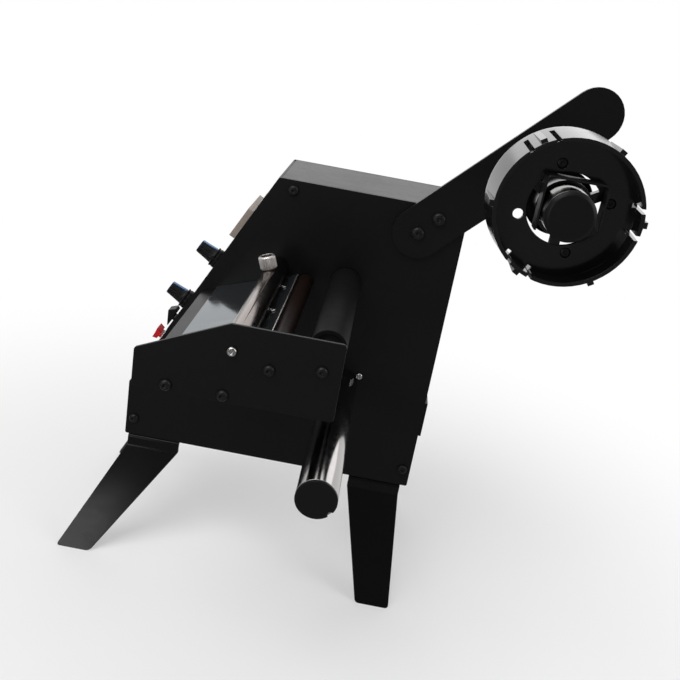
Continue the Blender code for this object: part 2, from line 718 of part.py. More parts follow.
def make_control_panel():
    """The bent front sheet: upright below, sloped above, cut for what it carries."""
    outer = [(-TOP_LENGTH, BODY_TOP), (-BODY_LENGTH, BODY_CLEARANCE + FRONT_HEIGHT),
             (-BODY_LENGTH, BODY_CLEARANCE)]
    panel = add_piece("control_panel", cover_sheet(outer), BLACK_COAT)
    under = -COVER_SHEET - CUT_OVERRUN
    low, high, half_width = housing_span()
    shapes = [(COUNTER_PLACE, box_mesh((low - SEAT_GAP, -half_width - SEAT_GAP, under),
                                       (high + SEAT_GAP, half_width + SEAT_GAP, CUT_OVERRUN)))]
    for place, length, width in ((LEVER_PLACE, LEVER_LENGTH, LEVER_WIDTH),
                                 (ROCKER_PLACE, ROCKER_LENGTH, ROCKER_WIDTH)):
        half_length = switch_body_size(length) / 2 + SEAT_GAP
        half_width = switch_body_size(width) / 2 + SEAT_GAP
        shapes.append((place, box_mesh((-half_length, -half_width, under),
                                       (half_length, half_width, CUT_OVERRUN))))
    shapes += [(place, rod_mesh(POT_BUSH_RADIUS + SEAT_GAP, under, CUT_OVERRUN))
               for place in KNOB_PLACES.values()]
    turn = Matrix.Rotation(-SLOPE_ANGLE, 4, "Y")
    placed = [moved(shape, Matrix.Translation(place_3d(slope_point(place), PANEL_CENTRE)) @ turn)
              for place, shape in shapes]
    cut(panel, "panel_cutouts", gathered(placed, "panel_cutouts"))


def make_rear_cover():
    """The upright rear sheet, cut for the power inlet."""
    low, high = cover_span()
    cover = add_piece("rear_cover", box_mesh((-COVER_SHEET, low, BODY_CLEARANCE), (0, high, BODY_TOP)),
                      BLACK_COAT)
    half_width = INLET_WIDTH / 2 - INLET_BODY_INSET + SEAT_GAP
    half_height = INLET_HEIGHT / 2 - INLET_BODY_INSET + SEAT_GAP
    middle = (0, BODY_DEPTH / 2, BODY_CLEARANCE + INLET_RISE)
    cut(cover, "inlet_cutout", box_mesh((-COVER_SHEET - CUT_OVERRUN, -half_width, -half_height),
                                        (CUT_OVERRUN, half_width, half_height)), middle)


def make_casing_screws():
    """Black button-head screws through the near side plate into the tabs of the covers."""
    screw = screw_mesh(SCREW_HEAD_RADIUS, SCREW_HEAD_HEIGHT, SCREW_RADIUS, SCREW_LENGTH, SOCKET_RADIUS)
    names = ("casing_screw_front", "casing_screw_rear", "casing_screw_top")
    places = [place_3d(point, 0) for point in (*BOTTOM_SCREW_PLACES, TOP_FRONT_SCREW)]
    add_screws(names, screw, places, BLACK_STEEL)


def leg_frames():
    """Each leg's name, its top and tip centres in X, and the side that it stands on."""
    front = (-BODY_LENGTH + FRONT_LEG_TOP_INSET, -BODY_LENGTH - FRONT_LEG_TIP_REACH)
    rear = (-REAR_LEG_TOP_INSET, -REAR_LEG_TIP_INSET)
    return [("front_leg_near", *front, -1), ("rear_leg_near", *rear, -1),
            ("front_leg_far", *front, 1), ("rear_leg_far", *rear, 1)]


def make_legs():
    """Four bent legs: a tab under the base plate, a short drop, then a tapered leg spread outwards."""
    top_z = BODY_CLEARANCE - SEAT_GAP
    bend_z = top_z - LEG_DROP
    past = (bend_z + CUT_OVERRUN) / bend_z
    half = LEG_TOP_WIDTH / 2
    tip_half = half + (LEG_TIP_WIDTH - LEG_TOP_WIDTH) / 2 * past
    for name, top_x, tip_x, side in leg_frames():
        edge = 0 if side < 0 else BODY_DEPTH
        tip_y = edge + side * (bend_z + CUT_OVERRUN) * math.tan(LEG_SPREAD)
        tip_mid = top_x + (tip_x - top_x) * past
        rows = [(top_x, half, edge - side * LEG_TAB, top_z), (top_x, half, edge, top_z),
                (top_x, half, edge, bend_z), (tip_mid, tip_half, tip_y, -CUT_OVERRUN)]
        points = [[(x - side * wide, y, z), (x + side * wide, y, z)] for x, wide, y, z in rows]
        leg = add_piece(name, thickened(strip_mesh(points), LEG_SHEET), BLACK_COAT)
        reach = leg_spread_reach() + LEG_SHEET + CUT_OVERRUN
        floor = box_mesh((tip_mid - LEG_TOP_WIDTH, edge - reach, -LEG_SHEET - CUT_OVERRUN),
                         (tip_mid + LEG_TOP_WIDTH, edge + reach, 0))
        cut(leg, name + "_foot_cut", floor)


def make_outer_plate():
    """The near plate that holds the free ends of the bar, the rollers and the table."""
    top = OUTER_BOTTOM + OUTER_HEIGHT
    corners = [(-OUTER_LEFT, OUTER_BOTTOM), (-OUTER_LEFT, OUTER_BOTTOM + OUTER_LEFT_HEIGHT),
               (-OUTER_LEFT + OUTER_APEX_INSET, top), (-OUTER_RIGHT, top), (-OUTER_RIGHT, OUTER_BOTTOM)]
    holes = path_holes() + [(BAR_AXIS, BAR_SCREW_RADIUS + RUNNING_GAP)]
    loops = [ring_points(point, radius, SMALL_STEPS) for point, radius in holes]
    sheet = flat_sheet(rounded_outline(corners, OUTER_ROUNDING), OUTER_SHEET, loops)
    sheet.transform(TO_NEAR)
    add_piece("outer_plate", sheet, BLACK_COAT, (0, OUTER_FACE_Y + OUTER_SHEET / 2, 0))


def path_holes():
    """Holes in the outer plate for the screws of the table and the spindles."""
    return [(point, PATH_SCREW_RADIUS + RUNNING_GAP)
            for point in (*TABLE_SCREW_PLACES, REAR_ROLLER_AXIS, GUIDE_ROLLER_AXIS)]


def table_top_line():
    """Side-view ends of the table's upper face, under the peel plate."""
    drop = TABLE_UP * -(PEEL_SHEET + SEAT_GAP)
    front = PEEL_FRONT - TABLE_ALONG * (PEEL_FRONT_SETBACK / math.cos(TABLE_TILT)) + drop
    rear = PEEL_REAR - TABLE_ALONG * TABLE_REAR_SETBACK + drop
    return front, rear


def make_peel_table():
    """The folded table: a tilted top and two upright flanges, one at each plate."""
    front, rear = table_top_line()
    near = OUTER_INNER_Y + SEAT_GAP
    far = -SEAT_GAP
    low = OUTER_BOTTOM + SEAT_GAP
    rows = [[(front.x, near, low), (rear.x, near, low)], [(front.x, near, front.y), (rear.x, near, rear.y)],
            [(front.x, far, front.y), (rear.x, far, rear.y)], [(front.x, far, low), (rear.x, far, low)]]
    table = add_piece("peel_table", thickened(strip_mesh(rows), TABLE_SHEET), BLACK_COAT)
    hole = rod_mesh(PATH_SCREW_RADIUS + RUNNING_GAP, -TABLE_SHEET - CUT_OVERRUN, TABLE_SHEET + CUT_OVERRUN,
                    SMALL_STEPS)
    holes = [moved(hole, Matrix.Translation(place_3d(point, near + TABLE_SHEET / 2)) @ TO_NEAR)
             for point in TABLE_SCREW_PLACES]
    peel_hole = rod_mesh(PEEL_SCREW_RADIUS + RUNNING_GAP, -TABLE_SHEET - CUT_OVERRUN - PEEL_SHEET,
                         CUT_OVERRUN, SMALL_STEPS)
    turn = Matrix.Rotation(-TABLE_TILT, 4, "Y")
    holes += [moved(peel_hole, Matrix.Translation(place) @ turn) for place in peel_screw_places()]
    cut(table, "table_holes", gathered(holes, "table_holes"))


def peel_screw_places():
    """Points on the peel plate's upper face where its screws sit."""
    point = PEEL_REAR - TABLE_ALONG * PEEL_SCREW_INSET
    return [place_3d(point, -PEEL_SCREW_FIRST - index * PEEL_SCREW_PITCH)
            for index in range(PEEL_SCREW_COUNT)]


def make_peel_plate():
    """The polished plate over whose thin front edge the labels peel off."""
    profile = [(0, 0), (PEEL_LENGTH, 0), (PEEL_LENGTH, -PEEL_SHEET), (PEEL_BEVEL, -PEEL_SHEET),
               (0, -PEEL_LIP)]
    near = OUTER_INNER_Y + PEEL_SIDE_GAP
    width = -PEEL_SIDE_GAP - near
    sheet = flat_sheet(profile, width)
    sheet.transform(TO_NEAR)
    middle = (near - PEEL_SIDE_GAP) / 2
    plate = add_piece("peel_plate", sheet, BRIGHT_STEEL, place_3d(PEEL_FRONT, middle), TABLE_TURN)
    hole = rod_mesh(PEEL_SCREW_RADIUS + RUNNING_GAP, -PEEL_SHEET - CUT_OVERRUN, CUT_OVERRUN, SMALL_STEPS)
    turn = Matrix.Rotation(-TABLE_TILT, 4, "Y")
    holes = [moved(hole, Matrix.Translation(place) @ turn) for place in peel_screw_places()]
    cut(plate, "peel_holes", gathered(holes, "peel_holes"))
    screw = screw_mesh(PEEL_HEAD_RADIUS, PEEL_HEAD_HEIGHT, PEEL_SCREW_RADIUS, PEEL_SCREW_LENGTH)
    add_screws(("peel_screw_inner", "peel_screw_outer"), screw, peel_screw_places(), BRIGHT_STEEL,
               TABLE_TURN)


def make_path_screws():
    """The screws at the outer plate that hold the table, the spindles and the bar."""
    screw = screw_mesh(PATH_HEAD_RADIUS, PATH_HEAD_HEIGHT, PATH_SCREW_RADIUS, PATH_SCREW_LENGTH,
                       SOCKET_RADIUS)
    names = ("table_screw_front", "table_screw_rear", "rear_spindle_screw", "guide_spindle_screw")
    add_screws(names, screw, [place_3d(point, OUTER_FACE_Y) for point, _ in path_holes()], BLACK_STEEL)
    screw = screw_mesh(BAR_SCREW_HEAD_RADIUS, BAR_SCREW_HEAD_HEIGHT, BAR_SCREW_RADIUS, BAR_SCREW_LENGTH,
                       SOCKET_RADIUS)
    add_screws(("press_bar_screw",), screw, [place_3d(BAR_AXIS, OUTER_FACE_Y)], BRIGHT_STEEL)


def spindle_mesh(radius, screw_radius, screw_length):
    """A fixed shaft: a spigot in the near side plate, and a screw hole at the outer plate."""
    end = -OUTER_INNER_Y - SEAT_GAP
    profile = [(0, end), (radius, end), (radius, SEAT_GAP), (SPIGOT_RADIUS, SEAT_GAP),
               (SPIGOT_RADIUS, -SIDE_SHEET), (0, -SIDE_SHEET)]
    drill = rod_mesh(screw_radius + RUNNING_GAP, end - screw_length, end + CUT_OVERRUN, SMALL_STEPS)
    return cut_mesh(turned_mesh(profile, ROUND_STEPS), drill)


def make_press_bar():
    """The bright bar that holds the web on the peel plate, with a flat for the thumb screw."""
    bar = add_piece("press_bar", spindle_mesh(BAR_RADIUS, BAR_SCREW_RADIUS, BAR_SCREW_LENGTH),
                    BRIGHT_STEEL, place_3d(BAR_AXIS, 0), NEAR_TURN)
    seat = place_3d(BAR_AXIS, -THUMB_PLACE)
    flat = box_mesh((-BAR_RADIUS - CUT_OVERRUN, -THUMB_SEAT_LENGTH / 2, THUMB_SEAT_HEIGHT),
                    (BAR_RADIUS + CUT_OVERRUN, THUMB_SEAT_LENGTH / 2, BAR_RADIUS + CUT_OVERRUN))
    drill = rod_mesh(THUMB_SHANK_RADIUS + RUNNING_GAP, -BAR_RADIUS - CUT_OVERRUN,
                     BAR_RADIUS + CUT_OVERRUN, SMALL_STEPS)
    cut(bar, "thumb_flat", flat, seat, TABLE_TURN)
    cut(bar, "thumb_drill", drill, seat, TABLE_TURN)


def make_thumb_screw():
    """The knurled thumb screw, whose tip bears on the peel plate."""
    seat = THUMB_SEAT_HEIGHT + SEAT_GAP
    top = seat + THUMB_HEAD_HEIGHT
    tip = -BAR_RADIUS
    rim = THUMB_HEAD_RADIUS - THUMB_EDGE
    profile = [(0, top), (rim, top), (THUMB_HEAD_RADIUS, top - THUMB_EDGE),
               (THUMB_HEAD_RADIUS, seat + THUMB_EDGE), (rim, seat), (THUMB_SHANK_RADIUS, seat),
               (THUMB_SHANK_RADIUS, tip), (0, tip)]
    add_piece("thumb_screw", turned_mesh(profile, ROLLER_STEPS), PLAIN_STEEL,
              place_3d(BAR_AXIS, -THUMB_PLACE), TABLE_TURN)


def make_rollers():
    """The narrow rear roller and the black guide roller, each loose on a fixed spindle."""
    for name, radius, axis in (("rear_spindle", REAR_SPINDLE_RADIUS, REAR_ROLLER_AXIS),
                               ("guide_spindle", GUIDE_SPINDLE_RADIUS, GUIDE_ROLLER_AXIS)):
        add_piece(name, spindle_mesh(radius, PATH_SCREW_RADIUS, PATH_SCREW_LENGTH), PLAIN_STEEL,
                  place_3d(axis, 0), NEAR_TURN)
    rear = tube_mesh(REAR_ROLLER_RADIUS, REAR_SPINDLE_RADIUS + RUNNING_GAP, ROLLER_FAR_END,
                     REAR_ROLLER_NEAR_END, ROLLER_STEPS)
    add_piece("rear_roller", rear, WARM_RUBBER, place_3d(REAR_ROLLER_AXIS, 0), NEAR_TURN)
    inner = GUIDE_ROLLER_RADIUS - GUIDE_ROLLER_WALL
    bore = GUIDE_SPINDLE_RADIUS + RUNNING_GAP
    near = GUIDE_ROLLER_NEAR_END
    profile = [(bore, near), (GUIDE_ROLLER_RADIUS, near), (GUIDE_ROLLER_RADIUS, ROLLER_FAR_END),
               (bore, ROLLER_FAR_END), (bore, ROLLER_FAR_END + BEARING_WIDTH),
               (inner, ROLLER_FAR_END + BEARING_WIDTH), (inner, near - BEARING_WIDTH),
               (bore, near - BEARING_WIDTH)]
    add_piece("guide_roller", turned_mesh(profile, ROLLER_STEPS, True), BLACK_PLASTIC,
              place_3d(GUIDE_ROLLER_AXIS, 0), NEAR_TURN)


def make_rewind_shaft():
    """The liner's rewind shaft: a polished tube, its near end closed by a cap with a notched rim."""
    bore = REWIND_RADIUS - REWIND_WALL
    tube = tube_mesh(REWIND_RADIUS, bore, REWIND_FAR_END, REWIND_NEAR_END, ROLLER_STEPS)
    tube.transform(TO_NEAR)
    add_piece("rewind_shaft", tube, BRIGHT_STEEL, place_3d(REWIND_AXIS, 0))
    face = REWIND_NEAR_END + SEAT_GAP
    plug = bore - SEAT_GAP
    front = face + REWIND_CAP_THICKNESS
    profile = [(0, front), (REWIND_RADIUS, front), (REWIND_RADIUS, face), (plug, face),
               (plug, face - REWIND_PLUG_LENGTH), (0, face - REWIND_PLUG_LENGTH)]
    notch = rod_mesh(NOTCH_RADIUS, face - SEAT_GAP, front + CUT_OVERRUN, SMALL_STEPS)
    notch.transform(Matrix.Translation((REWIND_RADIUS * math.cos(NOTCH_ANGLE),
                                        REWIND_RADIUS * math.sin(NOTCH_ANGLE), 0)))
    cap = cut_mesh(turned_mesh(profile, ROLLER_STEPS), notch)
    cap.transform(TO_NEAR)
    add_piece("rewind_end_cap", cap, BLACK_PLASTIC, place_3d(REWIND_AXIS, 0))


def make_rewind_drive():
    """The gear motor behind the near side plate, and the plug on its shaft that turns the tube."""
    face = SIDE_SHEET + SEAT_GAP
    start = -face - MOTOR_BORE_DEPTH
    plug = REWIND_RADIUS - REWIND_WALL - SEAT_GAP
    end = REWIND_FAR_END + DRIVE_PLUG_LENGTH
    profile = [(0, end), (plug, end), (plug, REWIND_FAR_END), (OUTPUT_SHAFT_RADIUS, REWIND_FAR_END),
               (OUTPUT_SHAFT_RADIUS, start), (0, start)]
    add_piece("rewind_drive_plug", turned_mesh(profile, ROUND_STEPS), ZINC, place_3d(REWIND_AXIS, 0),
              NEAR_TURN)
    low = -GEARBOX_LENGTH - MOTOR_LENGTH
    profile = [(0, 0), (GEARBOX_RADIUS, 0), (GEARBOX_RADIUS, -GEARBOX_LENGTH),
               (MOTOR_RADIUS, -GEARBOX_LENGTH), (MOTOR_RADIUS, low), (0, low)]
    drill = rod_mesh(MOTOR_SCREW_RADIUS + RUNNING_GAP, -MOTOR_SCREW_LENGTH, CUT_OVERRUN, SMALL_STEPS)
    drill.transform(Matrix.Translation((*MOTOR_SCREW_SPOT, 0)))
    bore = rod_mesh(OUTPUT_SHAFT_RADIUS + RUNNING_GAP, -MOTOR_BORE_DEPTH - SEAT_GAP, CUT_OVERRUN,
                    SMALL_STEPS)
    body = cut_mesh(turned_mesh(profile, ROUND_STEPS), gathered([drill, bore], "motor_drills"))
    add_piece("rewind_gear_motor", body, ZINC, place_3d(REWIND_AXIS, face), NEAR_TURN)
    screw = screw_mesh(MOTOR_SCREW_HEAD_RADIUS, MOTOR_SCREW_HEAD_HEIGHT, MOTOR_SCREW_RADIUS,
                       MOTOR_SCREW_LENGTH)
    add_screws(("motor_screw",), screw, [place_3d(REWIND_AXIS + MOTOR_SCREW_SPOT, 0)], BRIGHT_STEEL)


def make_roll_arm():
    """The flat arm with two round ends, screwed to the near side plate."""
    low_arc = ring_points(ARM_LOW, ARM_HALF_WIDTH, ARM_STEPS, ARM_ANGLE + math.pi / 2, math.pi)
    high_arc = ring_points(ARM_HIGH, ARM_HALF_WIDTH, ARM_STEPS, ARM_ANGLE - math.pi / 2, math.pi)
    screw_hole = ARM_SCREW_RADIUS + RUNNING_GAP
    holes = [ring_points(point, screw_hole, SMALL_STEPS) for point in ARM_SCREW_PLACES]
    holes.append(ring_points(ROLL_AXIS, ROLL_BOLT_RADIUS + RUNNING_GAP, SMALL_STEPS))
    sheet = flat_sheet(low_arc + high_arc, ARM_SHEET, holes)
    add_piece("roll_arm", sheet, BLACK_COAT, (0, ARM_NEAR_Y + ARM_SHEET / 2, 0), NEAR_TURN)
    screw = screw_mesh(ARM_SCREW_HEAD_RADIUS, ARM_SCREW_HEAD_HEIGHT, ARM_SCREW_RADIUS, ARM_SCREW_LENGTH,
                       SOCKET_RADIUS)
    places = [place_3d(point, ARM_NEAR_Y) for point in ARM_SCREW_PLACES]
    add_screws(("arm_screw_lower", "arm_screw_upper"), screw, places, BLACK_STEEL)


def make_roll_shaft():
    """The tube that carries the hub, bolted to the arm from behind, and its end cap."""
    start = -ARM_NEAR_Y + SEAT_GAP
    bore = ROLL_SHAFT_RADIUS - ROLL_SHAFT_WALL
    thread = ROLL_BOLT_RADIUS + RUNNING_GAP
    profile = [(bore, ROLL_SHAFT_REACH), (ROLL_SHAFT_RADIUS, ROLL_SHAFT_REACH), (ROLL_SHAFT_RADIUS, start),
               (thread, start), (thread, start + ROLL_SHAFT_FLOOR), (bore, start + ROLL_SHAFT_FLOOR)]
    tube = turned_mesh(profile, ROLLER_STEPS, True)
    tube.transform(TO_NEAR)
    add_piece("roll_shaft", tube, BRIGHT_STEEL, place_3d(ROLL_AXIS, 0))
    face = ROLL_SHAFT_REACH + SEAT_GAP
    front = face + ROLL_CAP_THICKNESS
    plug = bore - SEAT_GAP
    profile = [(0, front), (ROLL_CAP_FACE_RADIUS, front), (ROLL_SHAFT_RADIUS, front - ROLL_CAP_BEVEL),
               (ROLL_SHAFT_RADIUS, face), (plug, face), (plug, face - ROLL_PLUG_LENGTH),
               (0, face - ROLL_PLUG_LENGTH)]
    cap = turned_mesh(profile, ROLLER_STEPS)
    cap.transform(TO_NEAR)
    add_piece("roll_shaft_cap", cap, BLACK_PLASTIC, place_3d(ROLL_AXIS, 0))
    profile = [(0, ROLL_BOLT_HEAD_HEIGHT), (ROLL_BOLT_HEAD_RADIUS, ROLL_BOLT_HEAD_HEIGHT),
               (ROLL_BOLT_HEAD_RADIUS, 0), (ROLL_BOLT_RADIUS, 0), (ROLL_BOLT_RADIUS, -ROLL_BOLT_LENGTH),
               (0, -ROLL_BOLT_LENGTH)]
    add_piece("roll_shaft_bolt", turned_mesh(profile, SMALL_STEPS), BLACK_STEEL, place_3d(ROLL_AXIS, 0),
              FAR_TURN)


def make_stop_collar():
    """The collar that the hub turns against and slides with."""
    far = collar_far_reach()
    collar = tube_mesh(COLLAR_RADIUS, ROLL_SHAFT_RADIUS + RUNNING_GAP, far, far + COLLAR_WIDTH,
                       ROLLER_STEPS)
    collar.transform(TO_NEAR)
    add_piece("stop_collar", collar, BLACK_PLASTIC, place_3d(ROLL_AXIS, 0))


def collar_far_reach():
    """Distance of the collar's far side from the near side plate."""
    return HUB_NEAR_RIM - HUB_DEPTH + HUB_SLEEVE_START - RUNNING_GAP - COLLAR_WIDTH


def around(mesh, count, start=0.0):
    """Copies of a mesh turned about Z at equal steps."""
    return [moved(mesh, Matrix.Rotation(start + math.tau * index / count, 4, "Z")) for index in range(count)]


def make_core_hub():
    """The moulded cup that grips a 76 mm core: ribbed wall, spring tabs, floor, spokes and sleeve."""
    inner = HUB_RADIUS - HUB_WALL
    rim_inner = HUB_RIM_RADIUS - HUB_WALL
    floor_low = HUB_FLOOR_HEIGHT - HUB_FLOOR_SHEET
    profile = [(rim_inner, HUB_DEPTH), (HUB_RIM_RADIUS, HUB_DEPTH), (HUB_RADIUS, HUB_LEAD_IN),
               (HUB_RADIUS, 0), (inner, 0), (inner, floor_low), (HUB_OPENING_RADIUS, floor_low),
               (HUB_OPENING_RADIUS, HUB_FLOOR_HEIGHT), (inner - HUB_WALL / 2, HUB_FLOOR_HEIGHT)]
    cup = turned_mesh(profile, HUB_STEPS, True)
    cup.transform(TO_NEAR)
    place = place_3d(ROLL_AXIS, -(HUB_NEAR_RIM - HUB_DEPTH))
    hub = add_piece("core_hub", cup, BLACK_PLASTIC, place)
    rib = box_mesh((HUB_RIM_RADIUS - HUB_WALL / 2, -HUB_RIB_WIDTH / 2, HUB_LEAD_IN + HUB_RIB_END),
                   (HUB_RADIUS + HUB_RIB_RISE, HUB_RIB_WIDTH / 2, HUB_DEPTH - HUB_RIB_END))
    sleeve_inner = ROLL_SHAFT_RADIUS + RUNNING_GAP
    sleeve = tube_mesh(sleeve_inner + HUB_SLEEVE_WALL, sleeve_inner, HUB_SLEEVE_START, HUB_FLOOR_HEIGHT,
                       ROLLER_STEPS)
    spoke_half = HUB_SPOKE_WIDTH / 2
    spoke = box_mesh((sleeve_inner + HUB_SLEEVE_WALL / 2, -spoke_half, HUB_FLOOR_HEIGHT - HUB_SPOKE_HEIGHT),
                     (HUB_OPENING_RADIUS + HUB_WALL, spoke_half, HUB_FLOOR_HEIGHT - SEAT_GAP))
    ribs = gathered(around(rib, HUB_RIB_COUNT, HUB_TAB_ANGLE), "hub_ribs")
    spokes = gathered(around(spoke, HUB_TAB_COUNT, HUB_SPOKE_ANGLE), "hub_spokes")
    for name, mesh in (("hub_ribs", ribs), ("hub_spokes", spokes), ("hub_sleeve", sleeve)):
        mesh.transform(TO_NEAR)
        join(hub, name, mesh, place)
    cut(hub, "hub_cuts", hub_cuts(), place)
    make_hub_spring(place)


def hub_cuts():
    """Two slots beside each spring tab, and the holes in the floor, as one cutter."""
    slots = []
    for side in (-1, 1):
        low = side * HUB_TAB_HALF_WIDTH - HUB_SLOT_WIDTH / 2
        slots.append(box_mesh((HUB_RIM_RADIUS - 2 * HUB_WALL, low, HUB_DEPTH - HUB_SLOT_DEPTH),
                              (HUB_RADIUS + CUT_OVERRUN, low + HUB_SLOT_WIDTH, HUB_DEPTH + CUT_OVERRUN)))
    shapes = around(gathered(slots, "slot_pair"), HUB_TAB_COUNT, HUB_TAB_ANGLE)
    hole = rod_mesh(HUB_HOLE_RADIUS, HUB_FLOOR_HEIGHT - HUB_FLOOR_SHEET - CUT_OVERRUN,
                    HUB_FLOOR_HEIGHT + CUT_OVERRUN, SMALL_STEPS)
    hole.transform(Matrix.Translation((HUB_HOLE_CIRCLE, 0, 0)))
    shapes += around(hole, HUB_HOLE_COUNT, HUB_HOLE_ANGLE)
    cuts = gathered(shapes, "hub_cuts")
    cuts.transform(TO_NEAR)
    return cuts


def make_hub_spring(place):
    """The bent leaf that rubs on the shaft and keeps the roll from running on."""
    left = ROLL_SHAFT_RADIUS + RUNNING_GAP + SPRING_SHEET / 2
    path = [(-left, -SPRING_LEFT_END), (-left, SPRING_TOP), (SPRING_RIGHT, SPRING_TOP),
            (SPRING_RIGHT, -SPRING_RIGHT_END), (SPRING_TAIL_SIDE, -SPRING_TAIL_DROP)]
    start = HUB_FLOOR_HEIGHT + SEAT_GAP
    rows = [[(x, y, start), (x, y, start + SPRING_WIDTH)] for x, y in path]
    leaf = thickened(strip_mesh(rows), SPRING_SHEET, 0.0)
    leaf.transform(TO_NEAR)
    add_piece("hub_spring", leaf, BLACK_STEEL, place)


def add_on_slope(name, mesh, finish, down):
    """A piece whose origin sits on the slope, its Z leaving the panel."""
    return add_piece(name, mesh, finish, place_3d(slope_point(down), PANEL_CENTRE), SLOPE_TURN)


def make_counter():
    """The counter: a bezel on the panel, one with the housing behind it, and its dark window."""
    low, high, side = housing_span()
    place = place_3d(slope_point(COUNTER_PLACE), PANEL_CENTRE)
    counter = add_on_slope("counter", box_mesh((low, -side, -COUNTER_BODY_DEPTH), (high, side, 0)),
                           BEIGE_PLASTIC, COUNTER_PLACE)
    half_length = COUNTER_LENGTH / 2
    half_width = COUNTER_WIDTH / 2
    join(counter, "counter_neck", box_mesh((low, -side, -COVER_SHEET), (-low, side, COUNTER_HEIGHT / 2)),
         place, SLOPE_TURN)
    join(counter, "counter_bezel", box_mesh((-half_length, -half_width, SEAT_GAP),
                                            (half_length, half_width, COUNTER_HEIGHT)), place, SLOPE_TURN)
    floor = COUNTER_HEIGHT - COUNTER_WINDOW_DEPTH
    pane_length = half_length - COUNTER_FRAME
    pane_width = half_width - COUNTER_FRAME
    cut(counter, "window_recess", box_mesh((-pane_length, -pane_width, floor),
                                           (pane_length, pane_width, COUNTER_HEIGHT + CUT_OVERRUN)),
        place, SLOPE_TURN)
    pane = box_mesh((-pane_length + SEAT_GAP, -pane_width + SEAT_GAP, floor + SEAT_GAP),
                    (pane_length - SEAT_GAP, pane_width - SEAT_GAP, COUNTER_HEIGHT - SEAT_GAP))
    add_on_slope("counter_window", pane, BLACK_PLASTIC, COUNTER_PLACE)
    well = rod_mesh(RESET_BUTTON_RADIUS + RUNNING_GAP, -RESET_BUTTON_DEPTH - RESET_TRAVEL - SEAT_GAP,
                    CUT_OVERRUN)
    cut(counter, "reset_well", well, place_3d(slope_point(RESET_PLACE), PANEL_CENTRE), SLOPE_TURN)


def housing_span():
    """The counter housing's ends along the slope, from the counter's centre, and its half width."""
    low = COUNTER_BODY_INSET - COUNTER_LENGTH / 2
    high = COUNTER_PLACE - RESET_PLACE + RESET_LENGTH / 2 - COUNTER_BODY_INSET
    return low, high, min(COUNTER_WIDTH, RESET_WIDTH) / 2 - COUNTER_BODY_INSET


def make_reset():
    """The pale reset plate above the counter, and its push button."""
    half_length = RESET_LENGTH / 2
    half_width = RESET_WIDTH / 2
    plate = add_on_slope("reset_plate", box_mesh((-half_length, -half_width, SEAT_GAP),
                                                 (half_length, half_width, RESET_HEIGHT)),
                         PALE_PLASTIC, RESET_PLACE)
    cut(plate, "reset_hole", rod_mesh(RESET_BUTTON_RADIUS + RUNNING_GAP, -CUT_OVERRUN,
                                      RESET_HEIGHT + CUT_OVERRUN),
        place_3d(slope_point(RESET_PLACE), PANEL_CENTRE), SLOPE_TURN)
    button = rod_mesh(RESET_BUTTON_RADIUS, -RESET_BUTTON_DEPTH, RESET_HEIGHT + RESET_BUTTON_HEIGHT)
    add_on_slope("reset_button", button, BLACK_PLASTIC, RESET_PLACE)


def knob_mesh():
    """A skirted, tapered knob with a bore for the shaft and a recess for its cap."""
    base = KNOB_LIFT
    top = base + KNOB_HEIGHT
    bore = POT_SHAFT_RADIUS + SEAT_GAP
    skirt = base + KNOB_SKIRT_HEIGHT
    recess = top - KNOB_CAP_THICKNESS - SEAT_GAP
    cap = KNOB_CAP_RADIUS + SEAT_GAP
    profile = [(0, recess), (cap, recess), (cap, top), (KNOB_TOP_RADIUS - KNOB_EDGE, top),
               (KNOB_TOP_RADIUS, top - KNOB_EDGE), (KNOB_BASE_RADIUS, skirt),
               (KNOB_SKIRT_RADIUS - KNOB_EDGE, skirt), (KNOB_SKIRT_RADIUS, skirt - KNOB_EDGE),
               (KNOB_SKIRT_RADIUS, base), (bore, base), (bore, base + KNOB_BORE_DEPTH),
               (0, base + KNOB_BORE_DEPTH)]
    return turned_mesh(profile, ROUND_STEPS)


def make_knobs():
    """Two knobs, each on a potentiometer that sits in the panel."""
    top = KNOB_LIFT + KNOB_HEIGHT
    cap = rod_mesh(KNOB_CAP_RADIUS, top - KNOB_CAP_THICKNESS, top, ROUND_STEPS)
    under = -COVER_SHEET - SEAT_GAP
    shaft_end = KNOB_LIFT + KNOB_BORE_DEPTH - SEAT_GAP
    thread_end = KNOB_LIFT - SEAT_GAP
    profile = [(0, shaft_end), (POT_SHAFT_RADIUS, shaft_end), (POT_SHAFT_RADIUS, thread_end),
               (POT_BUSH_RADIUS, thread_end), (POT_BUSH_RADIUS, under), (POT_BODY_RADIUS, under),
               (POT_BODY_RADIUS, under - POT_BODY_DEPTH), (0, under - POT_BODY_DEPTH)]
    pot = turned_mesh(profile, ROUND_STEPS)
    for name, down in KNOB_PLACES.items():
        add_on_slope(name, knob_mesh(), BLACK_PLASTIC, down)
        add_on_slope(name + "_cap", cap.copy(), BLUE_PLASTIC, down)
        add_on_slope(name + "_potentiometer", pot.copy(), ZINC, down)


def switch_body_size(key_size):
    """Size of a switch body that holds a key of a given size."""
    return key_size + 2 * (SWITCH_GAP + SWITCH_WALL)


